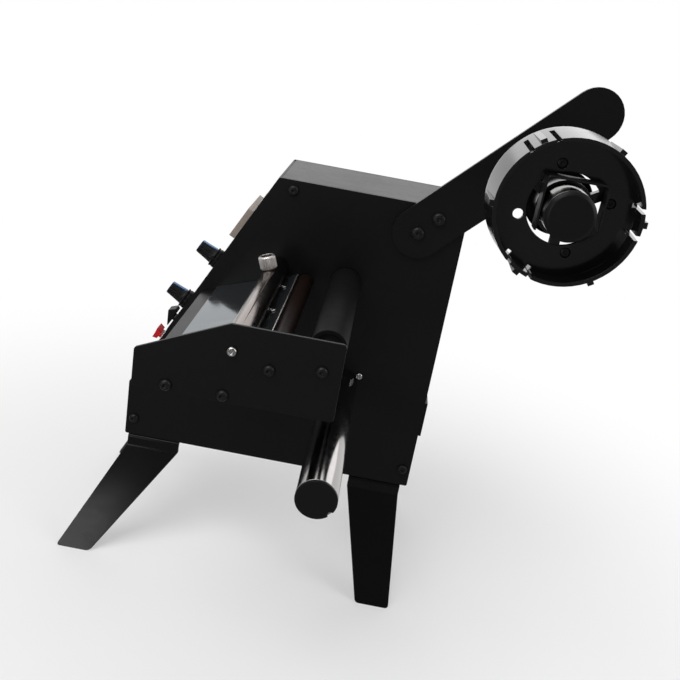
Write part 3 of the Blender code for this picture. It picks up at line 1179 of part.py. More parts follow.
def make_switch(name, length, width, down, finish):
    """A snap-in switch body: a flange on the panel and a recess that the key rocks in."""
    body_length = switch_body_size(length) / 2
    body_width = switch_body_size(width) / 2
    body = add_on_slope(name, box_mesh((-body_length, -body_width, -SWITCH_DEPTH),
                                       (body_length, body_width, SWITCH_FLANGE)), finish, down)
    place = place_3d(slope_point(down), PANEL_CENTRE)
    flange = box_mesh((-body_length - SWITCH_RIM, -body_width - SWITCH_RIM, SEAT_GAP),
                      (body_length + SWITCH_RIM, body_width + SWITCH_RIM, SWITCH_FLANGE))
    join(body, name + "_flange", flange, place, SLOPE_TURN)
    recess = box_mesh((-length / 2 - SWITCH_GAP, -width / 2 - SWITCH_GAP, -SWITCH_RECESS),
                      (length / 2 + SWITCH_GAP, width / 2 + SWITCH_GAP, SWITCH_FLANGE + CUT_OVERRUN))
    cut(body, name + "_recess", recess, place, SLOPE_TURN)


def key_sheet(profile, width):
    """A switch key whose side view is a profile along and above the slope."""
    mesh = flat_sheet(profile, width)
    mesh.transform(TO_NEAR)
    return mesh


def key_profile(half, undercut, crown):
    """Side view of a key: a pivot rib below, a drawn-in base, and a crown given left to right."""
    base = half - KEY_DRAW_IN
    return [(-PIVOT_HALF, -PIVOT_DROP), (PIVOT_HALF, -PIVOT_DROP), (PIVOT_HALF, undercut),
            (base, undercut), *reversed(crown), (-base, undercut), (-PIVOT_HALF, undercut)]


def make_mode_lever():
    """The tall wedge-shaped lever key: its crown falls a little way to the upper end, far to the lower."""
    half = LEVER_LENGTH / 2
    crown = [(-half, LEVER_LOW_HEIGHT), (half - LEVER_TIP, LEVER_HEIGHT), (half, LEVER_END_HEIGHT)]
    profile = key_profile(half, LEVER_UNDERCUT, crown)
    add_on_slope("mode_lever", key_sheet(profile, LEVER_WIDTH), BLACK_PLASTIC, LEVER_PLACE)
    make_switch("mode_switch", LEVER_LENGTH, LEVER_WIDTH, LEVER_PLACE, BLACK_PLASTIC)


def make_power_rocker():
    """The red rocker, with a dip between its two ends."""
    half = ROCKER_LENGTH / 2
    crown = [(-half, ROCKER_LOW), (0, ROCKER_DIP), (half, ROCKER_HIGH)]
    profile = key_profile(half, ROCKER_UNDERCUT, crown)
    add_on_slope("power_rocker", key_sheet(profile, ROCKER_WIDTH), RED_PLASTIC, ROCKER_PLACE)
    make_switch("power_switch", ROCKER_LENGTH, ROCKER_WIDTH, ROCKER_PLACE, PALE_PLASTIC)


def make_inlet():
    """The power inlet in the rear cover: a flange, a body with a socket, and three pins."""
    middle = (0, BODY_DEPTH / 2, BODY_CLEARANCE + INLET_RISE)
    half_width = INLET_WIDTH / 2
    half_height = INLET_HEIGHT / 2
    body_width = half_width - INLET_BODY_INSET
    body_height = half_height - INLET_BODY_INSET
    inlet = add_piece("power_inlet", box_mesh((-INLET_DEPTH, -body_width, -body_height),
                                              (INLET_PROUD, body_width, body_height)), BLACK_PLASTIC, middle)
    join(inlet, "inlet_flange", box_mesh((SEAT_GAP, -half_width, -half_height),
                                         (INLET_PROUD, half_width, half_height)), middle)
    socket_width = body_width - INLET_WALL
    socket_height = body_height - INLET_WALL
    socket_floor = INLET_PROUD - INLET_SOCKET_DEPTH
    cut(inlet, "inlet_socket", box_mesh((socket_floor, -socket_width, -socket_height),
                                        (INLET_PROUD + CUT_OVERRUN, socket_width, socket_height)), middle)
    half_pin = INLET_PIN_WIDTH / 2
    half_sheet = INLET_PIN_THICKNESS / 2
    pins = [box_mesh((socket_floor - INLET_PIN_ROOT, across - half_sheet, rise - half_pin),
                     (socket_floor + INLET_PIN_LENGTH, across + half_sheet, rise + half_pin))
            for across, rise in ((-INLET_PIN_SPACING, -INLET_PIN_RISE), (0, INLET_PIN_RISE),
                                 (INLET_PIN_SPACING, -INLET_PIN_RISE))]
    join(inlet, "inlet_pins", gathered(pins, "inlet_pins"), middle)


def make_electrics():
    """The supply on the base plate, and the board on the far plate's stand-offs."""
    front = -BODY_LENGTH + COVER_SHEET + SUPPLY_FRONT_GAP
    floor = BODY_CLEARANCE + COVER_SHEET + SEAT_GAP
    middle = BODY_DEPTH / 2
    supply = box_mesh((front, middle - SUPPLY_WIDTH / 2, floor),
                      (front + SUPPLY_LENGTH, middle + SUPPLY_WIDTH / 2, floor + SUPPLY_HEIGHT))
    add_piece("power_supply", supply, ZINC)
    low, high = board_heights()
    board_far = BODY_DEPTH - SIDE_SHEET - BOARD_STANDOFF
    board = box_mesh((-BOARD_REAR_GAP - BOARD_LENGTH, board_far - BOARD_SHEET, low),
                     (-BOARD_REAR_GAP, board_far, high))
    add_piece("control_board", board, GREEN_BOARD)


def main():
    """Makes every piece."""
    prepare_scene()
    make_side_plates()
    make_roof_and_base()
    make_control_panel()
    make_rear_cover()
    make_casing_screws()
    make_legs()
    make_outer_plate()
    make_peel_table()
    make_peel_plate()
    make_path_screws()
    make_press_bar()
    make_thumb_screw()
    make_rollers()
    make_rewind_shaft()
    make_rewind_drive()
    make_roll_arm()
    make_roll_shaft()
    make_stop_collar()
    make_core_hub()
    make_counter()
    make_reset()
    make_knobs()
    make_mode_lever()
    make_power_rocker()
    make_inlet()
    make_electrics()


main()
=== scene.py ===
# %% [markdown]
# # A desk label dispenser, dressed for a photograph
#
# The CAD model gives every piece its true place and size. This lesson adds the finishes and the
# fine shape: sheet metal with broken edges, turned shafts, fluted knobs, socket screws. Lengths
# are in metres, +Z is up, and +Y runs away from the side that carries the rollers.

# %% Load the frame
import json
import math

import bmesh
import bpy
import numpy as np
from mathutils import Matrix, Vector


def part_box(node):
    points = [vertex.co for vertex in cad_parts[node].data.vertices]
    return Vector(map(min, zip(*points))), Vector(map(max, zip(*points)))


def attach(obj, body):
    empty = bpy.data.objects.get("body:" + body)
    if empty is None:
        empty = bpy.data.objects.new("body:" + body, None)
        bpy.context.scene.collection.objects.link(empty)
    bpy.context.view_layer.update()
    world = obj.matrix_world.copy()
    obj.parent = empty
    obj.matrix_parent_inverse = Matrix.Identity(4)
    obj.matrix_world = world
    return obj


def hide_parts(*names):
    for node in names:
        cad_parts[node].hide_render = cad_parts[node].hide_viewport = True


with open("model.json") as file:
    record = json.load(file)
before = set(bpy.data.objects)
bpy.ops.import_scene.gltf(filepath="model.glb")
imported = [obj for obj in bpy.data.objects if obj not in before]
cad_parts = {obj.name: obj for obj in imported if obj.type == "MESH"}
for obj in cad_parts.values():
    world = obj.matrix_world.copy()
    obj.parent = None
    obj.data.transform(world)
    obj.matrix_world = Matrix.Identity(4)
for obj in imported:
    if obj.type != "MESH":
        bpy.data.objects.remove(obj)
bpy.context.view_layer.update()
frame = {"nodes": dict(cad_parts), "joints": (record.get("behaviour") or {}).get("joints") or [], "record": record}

body_of = {node: body for body, nodes in frame["record"]["behaviour"]["bodies"].items()
           for node in nodes}

# %% [markdown]
# ## The camera
#
# The camera looks at the near side from a little above. Its place and its three axes were fitted
# to straight edges of known size, such as the plates and the shafts. A square picture with a
# 44 mm lens on a 36 mm sensor has the same perspective.

# %% Camera
CAMERA_PLACE = (0.02736, -0.54251, 0.4243)
CAMERA_RIGHT = (0.98248, 0.08312, 0.16659)
CAMERA_UP = (-0.18546, 0.35908, 0.91469)
CAMERA_BACK = (0.01621, -0.92957, 0.36818)
FOCAL_LENGTH, SENSOR_WIDTH = 44.37, 36.0
CLIP_START = 0.01


def new_object(name, data):
    """An object that shows some data, linked to the scene."""
    thing = bpy.data.objects.new(name, data)
    bpy.context.scene.collection.objects.link(thing)
    return thing


lens = bpy.data.cameras.new("product_lens")
lens.lens, lens.sensor_width, lens.clip_start = FOCAL_LENGTH, SENSOR_WIDTH, CLIP_START
camera = new_object("product_camera", lens)
camera.matrix_world = Matrix((CAMERA_RIGHT, CAMERA_UP, CAMERA_BACK)).transposed().to_4x4()
camera.location = CAMERA_PLACE
bpy.context.scene.camera = camera
bpy.context.scene.view_settings.view_transform = "Standard"
print("camera", tuple(camera.location), "lens", lens.lens)

# %% [markdown]
# ## Lamps
#
# A black machine is shown by what it mirrors. The lamps stand where its flat faces don't mirror
# them: one high behind it for the upper edges, one above the front left for the plain light that
# colours are seen by, one on the right for the shafts, and a small low one that the near leg
# mirrors. They are area lamps, because a point lamp gives harder shadows than a studio has.

# %% Soft boxes
SOFT_BOXES = {  # place, the point that it faces, width, height, watts
    "back_soft_box": ((0.0, 1.35, 1.0), (0.0, 0.05, 0.26), 2.4, 0.85, 5.4),
    "front_soft_box": ((-0.55, -0.65, 1.3), (0.0, 0.0, 0.15), 0.9, 0.9, 11.0),
    "side_soft_box": ((1.1, -0.35, 0.8), (0.05, 0.0, 0.2), 0.7, 0.9, 4.0),
    "low_soft_box": ((-0.80, -1.75, 0.28), (-0.12, 0.0, 0.04), 0.48, 0.44, 4.2)}
for name, (place, aim, width, height, watts) in SOFT_BOXES.items():
    lamp = bpy.data.lights.new(name, "AREA")
    lamp.shape = "RECTANGLE"
    lamp.size, lamp.size_y, lamp.energy = width, height, watts
    holder = new_object(name, lamp)
    holder.location = place
    holder.rotation_euler = (Vector(aim) - Vector(place)).to_track_quat("-Z", "Y").to_euler()
    holder.visible_camera = False
print("lamps:", ", ".join(SOFT_BOXES))

# %% [markdown]
# ## Node trees in short lines
#
# The room, the floor and the finishes are all node trees. Every node made by hand takes several
# lines, so a few helpers make one, set or link its inputs, and hand back the socket to go on from.

# %% Node helpers


def add_node(tree, kind, settings=None, inputs=None):
    """A node with its settings, and its inputs set to numbers or linked from sockets."""
    node = tree.nodes.new(kind)
    for key, value in (settings or {}).items():
        setattr(node, key, value)
    for key, value in (inputs or {}).items():
        if isinstance(value, bpy.types.NodeSocket):
            tree.links.new(value, node.inputs[key])
        else:
            node.inputs[key].default_value = value
    return node


def calculate(tree, operation, first, second=0.0, clamp=False):
    """The socket of a Math node on two numbers or sockets."""
    node = add_node(tree, "ShaderNodeMath", {"operation": operation, "use_clamp": clamp},
                    {0: first, 1: second})
    return node.outputs[0]


def times(tree, first, second, clamp=False):
    """The socket of a product."""
    return calculate(tree, "MULTIPLY", first, second, clamp)


def spread(tree, value, low, high, to_low=0.0, to_high=1.0):
    """A socket that runs smoothly from to_low to to_high while the value runs from low to high."""
    node = add_node(tree, "ShaderNodeMapRange", {"interpolation_type": "SMOOTHSTEP"},
                    {"Value": value, "From Min": low, "From Max": high,
                     "To Min": to_low, "To Max": to_high})
    return node.outputs[0]


def part_of(tree, vector, axis):
    """The socket of one coordinate of a vector."""
    return add_node(tree, "ShaderNodeSeparateXYZ", None, {0: vector}).outputs[axis]


print("helpers for node trees ready")

# %% [markdown]
# ## The room
#
# The room is white where it is looked at, and bright steel mirrors it too. The side behind the
# photographer is dim, as in a studio, because a sphere all white would lay a grey veil over every
# black plate. Light Path tells the kinds of rays apart.

# %% World
ROOM_AMBIENT = 0.34
ROOM_DIM = 0.16
HEIGHT_SHARE = 0.7
DIM_BELOW, WHITE_ABOVE = -0.25, 0.35
WHITE = (1, 1, 1, 1)


def looked_at(tree, path):
    """A socket that is 1 for rays that come straight from the camera or through clear pieces."""
    return calculate(tree, "MAXIMUM", path["Is Camera Ray"], path["Is Transmission Ray"])


world = bpy.data.worlds.new("studio")
world.use_nodes = True
bpy.context.scene.world = world
room = world.node_tree
room.nodes.clear()
direction = add_node(room, "ShaderNodeTexCoord").outputs["Generated"]
towards_back = calculate(room, "ADD", part_of(room, direction, "Y"),
                         times(room, part_of(room, direction, "Z"), HEIGHT_SHARE))
mirrored = spread(room, towards_back, DIM_BELOW, WHITE_ABOVE, ROOM_DIM, 1.0)
path = add_node(room, "ShaderNodeLightPath").outputs
shown = times(room, path["Is Glossy Ray"], mirrored)
lit = times(room, path["Is Diffuse Ray"], ROOM_AMBIENT)
strength = calculate(room, "ADD", calculate(room, "ADD", looked_at(room, path), shown), lit, True)
sky = add_node(room, "ShaderNodeBackground", None, {"Color": WHITE, "Strength": strength})
add_node(room, "ShaderNodeOutputWorld", None, {"Surface": sky.outputs[0]})
print("world: white when looked at, ambient", ROOM_AMBIENT)

# %% [markdown]
# ## The floor
#
# The machine stands on a pale desk that melts into the white room. The middle is plain and matt,
# so the shadows stay; further out it turns into even white, because no lamp lights a desk evenly
# to the horizon. In front of the machine its mirror image is as dim as the room on that side.

# %% Floor
FLOOR_HALF, FLOOR_POINTS, FLOOR_DROP = 14.0, 5, 0.0001
FLOOR_PALE = (0.93, 0.93, 0.93, 1)
FADE_START, FADE_END, FADE_LEAST = 0.16, 0.62, 0.35
FRONT_END, BACK_START = -0.15, 0.3
FRONT_MIRRORED = 0.30


def make_floor():
    """A flat square grid of points, each joined to its right and further neighbours."""
    steps = np.linspace(-FLOOR_HALF, FLOOR_HALF, FLOOR_POINTS)
    x, y = np.meshgrid(steps, steps)
    points = np.stack([x, y, np.full_like(x, -FLOOR_DROP)], axis=-1).reshape(-1, 3)
    index = np.arange(FLOOR_POINTS ** 2).reshape(FLOOR_POINTS, FLOOR_POINTS)
    faces = np.stack([index[:-1, :-1], index[:-1, 1:], index[1:, 1:], index[1:, :-1]], axis=-1)
    mesh = bpy.data.meshes.new("floor")
    mesh.from_pydata(points.tolist(), [], faces.reshape(-1, 4).tolist())
    return new_object("floor", mesh)


floor = make_floor()
desk = bpy.data.materials.new("pale_desk")
desk.use_nodes = True
tree = desk.node_tree
tree.nodes.clear()
place = add_node(tree, "ShaderNodeTexCoord").outputs["Object"]
reach = add_node(tree, "ShaderNodeVectorMath", {"operation": "LENGTH"}, {0: place})
far_away = spread(tree, reach.outputs["Value"], FADE_START, FADE_END, FADE_LEAST, 1.0)
behind = spread(tree, part_of(tree, place, "Y"), FRONT_END, BACK_START)
path = add_node(tree, "ShaderNodeLightPath").outputs
mirrored = path["Is Glossy Ray"]
white_for = calculate(tree, "MAXIMUM", looked_at(tree, path),
                      times(tree, mirrored, behind))
matt = add_node(tree, "ShaderNodeBsdfPrincipled", None,
                {"Base Color": FLOOR_PALE, "Roughness": 0.9, "Specular IOR Level": 0.0})
even = add_node(tree, "ShaderNodeEmission", None, {"Color": WHITE, "Strength": 1.0})
dim = add_node(tree, "ShaderNodeEmission", None, {"Color": WHITE, "Strength": FRONT_MIRRORED})
pale = add_node(tree, "ShaderNodeMixShader", None,
                {0: times(tree, white_for, far_away),
                 1: matt.outputs[0], 2: even.outputs[0]})
front_mirrored = times(tree, mirrored, calculate(tree, "SUBTRACT", 1.0, behind))
mixed = add_node(tree, "ShaderNodeMixShader", None,
                 {0: front_mirrored, 1: pale.outputs[0], 2: dim.outputs[0]})
add_node(tree, "ShaderNodeOutputMaterial", None, {"Surface": mixed.outputs[0]})
floor.data.materials.append(desk)
print("floor", 2 * FLOOR_HALF, "m wide")

# %% [markdown]
# ## Effects that several finishes share
#
# Four node groups hold what the finishes have in common: the grain of powder coat and moulded
# plastic, the rings that a lathe leaves, the smears of handling, and the dust on upward faces.
# Each puts out a mask or a height; the shader itself stays in each material.

# %% Tools for node groups


def new_group(name, per_metre, outputs):
    """A group with a vector, a fineness where it has one, its outputs, and its two end nodes."""
    group = bpy.data.node_groups.new(name, "ShaderNodeTree")
    add_socket = group.interface.new_socket
    add_socket(name="Vector", in_out="INPUT", socket_type="NodeSocketVector")
    if per_metre:
        fineness = add_socket(name="Per Metre", in_out="INPUT", socket_type="NodeSocketFloat")
        fineness.default_value = per_metre
    for label in outputs:
        add_socket(name=label, in_out="OUTPUT", socket_type="NodeSocketFloat")
    return (group, add_node(group, "NodeGroupInput").outputs,
            add_node(group, "NodeGroupOutput").inputs)


def scaled(tree, vector, factor):
    """The vector times a number or a socket."""
    node = add_node(tree, "ShaderNodeVectorMath", {"operation": "SCALE"},
                    {0: vector, "Scale": factor})
    return node.outputs["Vector"]


def noise(tree, place, detail=2.0, roughness=0.5, distortion=0.0, on="Vector"):
    """The grey output of a noise at a scaled vector, or on "W" at a scaled place on a line."""
    node = add_node(tree, "ShaderNodeTexNoise", {"noise_dimensions": "1D" if on == "W" else "3D"},
                    {on: place, "Scale": 1.0, "Detail": detail, "Roughness": roughness,
                     "Distortion": distortion})
    return node.outputs["Fac"]


def blend(tree, first, first_share, second, second_share):
    """Two grey values, each times its share, added."""
    return calculate(tree, "ADD", times(tree, first, first_share),
                     times(tree, second, second_share))


print("group tools ready")

# %% [markdown]
# Powder coat and moulded plastic are covered in small rounded bumps, with a slower swell under
# them. Two noises of different size, each times its share, are added to give both.

# %% Coat grain
SLOW_SIZE, FINE_SHARE, SLOW_SHARE = 0.22, 0.7, 0.3
tree, into, out = new_group("coat_grain", 1200.0, ["Height", "Tone"])
grain_group = tree
fine = noise(tree, scaled(tree, into["Vector"], into["Per Metre"]), detail=3.0, roughness=0.45)
slow_per_metre = times(tree, into["Per Metre"], SLOW_SIZE)
slow = noise(tree, scaled(tree, into["Vector"], slow_per_metre))
tree.links.new(blend(tree, fine, FINE_SHARE, slow, SLOW_SHARE), out["Height"])
tree.links.new(slow, out["Tone"])

print("group", grain_group.name)

# %% [markdown]
# A lathe leaves fine rings. Every shaft here runs along Y, so a noise of the place along Y alone
# draws them, and nothing has to be wrapped round the shafts.

# %% Turning rings
BANDS_PER_METRE = 160.0
tree, into, out = new_group("turning_rings", 3000.0, ["Height", "Tone"])
ring_group = tree
along = part_of(tree, into["Vector"], "Y")
lines = noise(tree, times(tree, along, into["Per Metre"]), detail=3.0, roughness=0.6, on="W")
bands = noise(tree, times(tree, along, BANDS_PER_METRE), detail=1.0, on="W")
tree.links.new(lines, out["Height"])
tree.links.new(bands, out["Tone"])

print("group", ring_group.name)

# %% [markdown]
# Hands and cloths leave broad smears, with streaks drawn out along X. A Mapping node with unequal
# scales stretches the streaks' noise, and only the higher part of the sum shows as a smear.

# %% Handling smears
STREAKS_PER_METRE = (40.0, 220.0, 320.0)
PATCH_SHARE, STREAK_SHARE = 0.72, 0.28
SMEAR_START, SMEAR_FULL = 0.38, 0.66
tree, into, out = new_group("handling_smears", 30.0, ["Smear"])
smear_group = tree
patch = noise(tree, scaled(tree, into["Vector"], into["Per Metre"]), detail=4.0, roughness=0.6,
              distortion=0.4)
drawn = add_node(tree, "ShaderNodeMapping", None,
                 {"Vector": into["Vector"], "Scale": STREAKS_PER_METRE})
streak = noise(tree, drawn.outputs["Vector"])
both = blend(tree, patch, PATCH_SHARE, streak, STREAK_SHARE)
tree.links.new(spread(tree, both, SMEAR_START, SMEAR_FULL), out["Smear"])

print("group", smear_group.name)

# %% [markdown]
# Dust settles on faces that look up, as small specks and a thin film. The Z of the normal picks
# those faces. Each finish takes only a little of it, because the machine is nearly new.

# %% Settled dust
FILM_PER_METRE, SPECKS_PER_METRE, FILM_SHARE = 90.0, 2200.0, 0.5
SPECK_START, SPECK_FULL = 0.66, 0.74
UP_START, UP_FULL = 0.55, 0.98
tree, into, out = new_group("settled_dust", None, ["Dust"])
dust_group = tree
up = part_of(tree, add_node(tree, "ShaderNodeNewGeometry").outputs["Normal"], "Z")
film = noise(tree, scaled(tree, into["Vector"], FILM_PER_METRE), detail=3.0, roughness=0.65)
specks = noise(tree, scaled(tree, into["Vector"], SPECKS_PER_METRE), detail=1.0)
film = calculate(tree, "ADD", times(tree, film, FILM_SHARE),
                 spread(tree, specks, SPECK_START, SPECK_FULL))
tree.links.new(times(tree, film, spread(tree, up, UP_START, UP_FULL), True), out["Dust"])
print("group", dust_group.name)

# %% [markdown]
# ## Finishes
#
# Every finish is one Principled shader with its own numbers. The shared groups vary its
# roughness and colour slightly, and raise the grain through a Bump node whose distance is that
# grain's real height: a few hundredths of a millimetre on powder coat, far less on steel.

# %% Finish maker
DUST_COLOUR = (0.42, 0.41, 0.39, 1)


def place_group(tree, group, inputs):
    """A group node in a material's tree."""
    return add_node(tree, "ShaderNodeGroup", {"node_tree": group}, inputs).outputs


def finish(name, colour, roughness, metallic=0.0, specular=0.5, texture=grain_group,
           per_metre=1200.0, height=0.00001, strength=0.5, tint=0.12, rough_shift=0.06,
           smear=0.08, dust=0.0):
    """A material whose colour and roughness vary by grain or rings, smears and dust, with a bump.

    The colour swings by the tint's share and the roughness by rough_shift, plus the smears.
    """
    material = bpy.data.materials.new(name)
    material.use_nodes = True
    tree = material.node_tree
    shader = tree.nodes["Principled BSDF"].inputs
    shader["Metallic"].default_value = metallic
    shader["Specular IOR Level"].default_value = specular
    where = add_node(tree, "ShaderNodeTexCoord").outputs["Object"]
    pattern = place_group(tree, texture, {"Vector": where, "Per Metre": per_metre})
    wiped = place_group(tree, smear_group, {"Vector": where})["Smear"]
    settled = place_group(tree, dust_group, {"Vector": where})["Dust"]
    toned = add_node(tree, "ShaderNodeMix", {"data_type": "RGBA"},
                     {0: pattern["Tone"], 6: (*(channel * (1 - tint) for channel in colour), 1),
                      7: (*(channel * (1 + tint) for channel in colour), 1)})
    dusted = add_node(tree, "ShaderNodeMix", {"data_type": "RGBA"},
                      {0: times(tree, settled, dust), 6: toned.outputs[2],
                       7: DUST_COLOUR})
    tree.links.new(dusted.outputs[2], shader["Base Color"])
    rough = calculate(tree, "MULTIPLY_ADD", pattern["Tone"], rough_shift)
    rough.node.inputs[2].default_value = roughness - rough_shift / 2
    rough = calculate(tree, "ADD", rough, times(tree, wiped, smear), True)
    tree.links.new(rough, shader["Roughness"])
    bump = add_node(tree, "ShaderNodeBump", None,
                    {"Strength": strength, "Distance": height, "Height": pattern["Height"]})
    tree.links.new(bump.outputs["Normal"], shader["Normal"])
    return material


print("finish maker ready, dust is", DUST_COLOUR[:3])

# %% [markdown]
# Black isn't one finish here: the sheets wear a satin powder coat, the legs a glossier one, the
# screws are blacked steel and the hub is shiny plastic. One shared black would melt the pieces
# together, so their roughness and how much they mirror set them apart.

# %% The machine's finishes
POWDER = {"specular": 0.14, "per_metre": 1500.0, "smear": 0.03, "dust": 0.006}
BRIGHT = {"metallic": 1.0, "texture": ring_group, "per_metre": 5200.0, "height": 0.000004,
          "strength": 0.35, "smear": 0.07}
ROLLER = {"texture": ring_group, "per_metre": 2200.0, "strength": 0.4, "tint": 0.25}
PALE = {"specular": 0.4, "per_metre": 2000.0, "height": 0.00002, "dust": 0.05}

FINISHES = {
    "black_coat": finish("satin_powder_coat", (0.0048, 0.0048, 0.0051), 0.34, height=0.00003,
                         strength=0.45, **POWDER),
    "black_steel": finish("black_oxide_steel", (0.010, 0.010, 0.0105), 0.34, metallic=0.4,
                          specular=0.3, per_metre=2600.0, dust=0.012),
    "polished_steel": finish("polished_steel", (0.42, 0.405, 0.40), 0.11, tint=0.03, **BRIGHT),
    "plain_steel": finish("plain_steel", (0.60, 0.565, 0.54), 0.36, metallic=1.0,
                          texture=ring_group, per_metre=3800.0, height=0.000008, tint=0.06),
    "zinc": finish("zinc_plate", (0.48, 0.49, 0.5), 0.42, metallic=1.0, per_metre=500.0,
                   height=0.00002),
    "roller_rubber": finish("roller_rubber", (0.0062, 0.0058, 0.0058), 0.50, specular=0.07,
                            **ROLLER),
    "black_plastic": finish("moulded_black", (0.0045, 0.0045, 0.0048), 0.32, specular=0.16,
                            per_metre=2400.0, strength=0.4, tint=0.2, dust=0.02),
    "gloss_black": finish("gloss_black", (0.0024, 0.0024, 0.0026), 0.14, specular=0.34,
                          per_metre=420.0, strength=0.2, tint=0.2, smear=0.03, dust=0.01),
    "beige_plastic": finish("beige_plastic", (0.30, 0.245, 0.215), 0.46, tint=0.04, **PALE),
    "pale_plastic": finish("pale_plastic", (0.58, 0.58, 0.57), 0.44, tint=0.03, **PALE),
    "blue_plastic": finish("blue_plastic", (0.008, 0.105, 0.27), 0.34, per_metre=2000.0,
                           tint=0.08),
    "red_plastic": finish("red_plastic", (0.55, 0.006, 0.010), 0.34, specular=0.3,
                          per_metre=2000.0, height=0.000004, tint=0.05),
    "green_board": finish("green_board", (0.02, 0.16, 0.07), 0.40, per_metre=900.0,
                          height=0.00002)}
leg_coat = finish("glossier_powder_coat", (0.0040, 0.0040, 0.0043), 0.13, strength=0.3,
                  **POWDER)
ground_steel = finish("ground_steel", (0.185, 0.205, 0.22), 0.05, metallic=0.9,
                      texture=ring_group, per_metre=2600.0, height=0.000004, strength=0.3,
                      tint=0.04)
# Painted shade: this steel is much darker than the polished steel, for the shade the roll shaft sits in inside the
# hub, where it mirrors the hub's black inside.
shade_darkened_steel = finish("shade_darkened_steel", (0.15, 0.145, 0.14), 0.14, tint=0.03, **BRIGHT)
bar_steel = finish("bar_steel", (0.19, 0.166, 0.157), 0.16, tint=0.04, **BRIGHT)
brown_rubber = finish("brown_rubber", (0.009, 0.0046, 0.0038), 0.40, specular=0.10, **ROLLER)
slot_of = {item["node"]: item["material_slot"] for item in frame["record"]["subparts"]}
for node, slot in slot_of.items():
    frame["nodes"][node].data.materials.clear()
    frame["nodes"][node].data.materials.append(FINISHES[slot])
print(len(FINISHES), "finishes on", len(slot_of), "nodes")

# %% [markdown]
# ## Pieces that keep their CAD outline
#
# Plates, covers and snap-in bodies are right in outline, with every cut-out in place. They lack
# the broken edge that catches a line of light. A CAD mesh is loose triangles, so a copy is
# merged, its flat faces are joined, and a narrow Bevel with weighted normals finishes it.

# %% Copies with broken edges
MERGE_DISTANCE = 0.000002
FLAT_ANGLE, EDGE_ANGLE = math.radians(0.6), math.radians(38.0)
NORMAL_WEIGHT = 60


def own_piece(name, mesh, node, material=None):
    """Puts a finished mesh in the scene, on the body and with the slot of one node."""
    slot = slot_of[node]
    mesh.materials.clear()
    mesh.materials.append(material or FINISHES[slot])
    piece = new_object(name, mesh)
    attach(piece, body_of[node])
    return piece


def with_broken_edges(node, width, segments=2, material=None):
    """A merged copy of a CAD node whose sharp edges are rounded over the given width."""
    work = bmesh.new()
    work.from_mesh(frame["nodes"][node].data)
    bmesh.ops.remove_doubles(work, verts=work.verts, dist=MERGE_DISTANCE)
    bmesh.ops.dissolve_limit(work, angle_limit=FLAT_ANGLE, verts=work.verts, edges=work.edges)
    mesh = bpy.data.meshes.new(node + "_finished")
    work.to_mesh(mesh)
    work.free()
    mesh.shade_smooth()
    piece = own_piece(node + "_finished", mesh, node, material)
    bevel = piece.modifiers.new("broken_edge", "BEVEL")
    bevel.width, bevel.segments = width, segments
    bevel.limit_method, bevel.angle_limit = "ANGLE", EDGE_ANGLE
    piece.modifiers.new("even_normals", "WEIGHTED_NORMAL").weight = NORMAL_WEIGHT
    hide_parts(node)


COATED_SHEETS = {"side_plate_near": 0.00035, "side_plate_far": 0.00035, "roof_cover": 0.0003,
                 "base_plate": 0.0003, "control_panel": 0.0003, "rear_cover": 0.0003,
                 "outer_plate": 0.0004, "peel_table": 0.0004, "roll_arm": 0.0005}
for node, width in COATED_SHEETS.items():
    with_broken_edges(node, width)
print("coated sheets:", ", ".join(COATED_SHEETS))

# %% [markdown]
# Switch bodies and the counter are moulded, so their edges are round: the same Bevel with one
# more segment. The peel plate keeps the finest edge, as a label only leaves its liner over one.

# %% Moulded bodies, the peel plate and the hub
MOULDED = {"counter": 0.0005, "reset_plate": 0.0002, "mode_switch": 0.0002,
           "power_switch": 0.0002, "mode_lever": 0.0005, "power_rocker": 0.0003,
           "power_inlet": 0.0004, "counter_window": 0.0002}
for node, width in MOULDED.items():
    with_broken_edges(node, width, 3)
with_broken_edges("peel_plate", 0.00012, 2, ground_steel)
with_broken_edges("core_hub", 0.0003)
print("moulded pieces:", ", ".join(MOULDED))

# %% [markdown]
# ## Surfaces from arrays
#
# Turned, bent and fluted pieces are worked out as whole arrays: a grid of points with one row for
# each station along the shape and one column for each direction round it. Neighbouring points
# make the faces, so a shape can be changed by its formula instead of by hand.

# %% From a grid to a mesh
DOUBLES_DISTANCE = 0.0000005
SHARP_ANGLE = math.radians(42.0)


def grid_mesh(name, grid, close_rows=False):
    """The closed skin over a grid of points, whose columns always close on themselves.

    Rows whose points all fall together are poles, and merging doubles turns their quads into
    triangles. If the signed volume, a sum of triple products, is negative, all faces are turned.
    """
    rows, columns = grid.shape[:2]
    index = np.arange(rows * columns).reshape(rows, columns)
    ahead = np.roll(index, -1, axis=1)
    low, low_ahead, high, high_ahead = index[:-1], ahead[:-1], index[1:], ahead[1:]
    if close_rows:
        low, low_ahead = index, ahead
        high, high_ahead = np.roll(index, -1, axis=0), np.roll(ahead, -1, axis=0)
    faces = np.stack([low, low_ahead, high_ahead, high], axis=-1).reshape(-1, 4)
    points = grid.reshape(-1, 3)
    a, b, c, d = (points[faces[:, corner]] for corner in range(4))
    volume = np.einsum("ij,ij->", a, np.cross(b, c)) + np.einsum("ij,ij->", a, np.cross(c, d))
    if volume < 0:
        faces = faces[:, ::-1]
    mesh = bpy.data.meshes.new(name)
    mesh.from_pydata(points.tolist(), [], faces.tolist())
    work = bmesh.new()
    work.from_mesh(mesh)
    bmesh.ops.remove_doubles(work, verts=work.verts, dist=DOUBLES_DISTANCE)
    work.to_mesh(mesh)
    work.free()
    mesh.shade_smooth()
    mesh.set_sharp_from_angle(angle=SHARP_ANGLE)
    return mesh


def grid_piece(name, grid, node, material=None, close_rows=False, beside=False):
    """The skin of a grid as a piece in place of one node, or beside it when the node stays."""
    piece = own_piece(name, grid_mesh(name, grid, close_rows), node, material)
    if not beside:
        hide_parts(node)


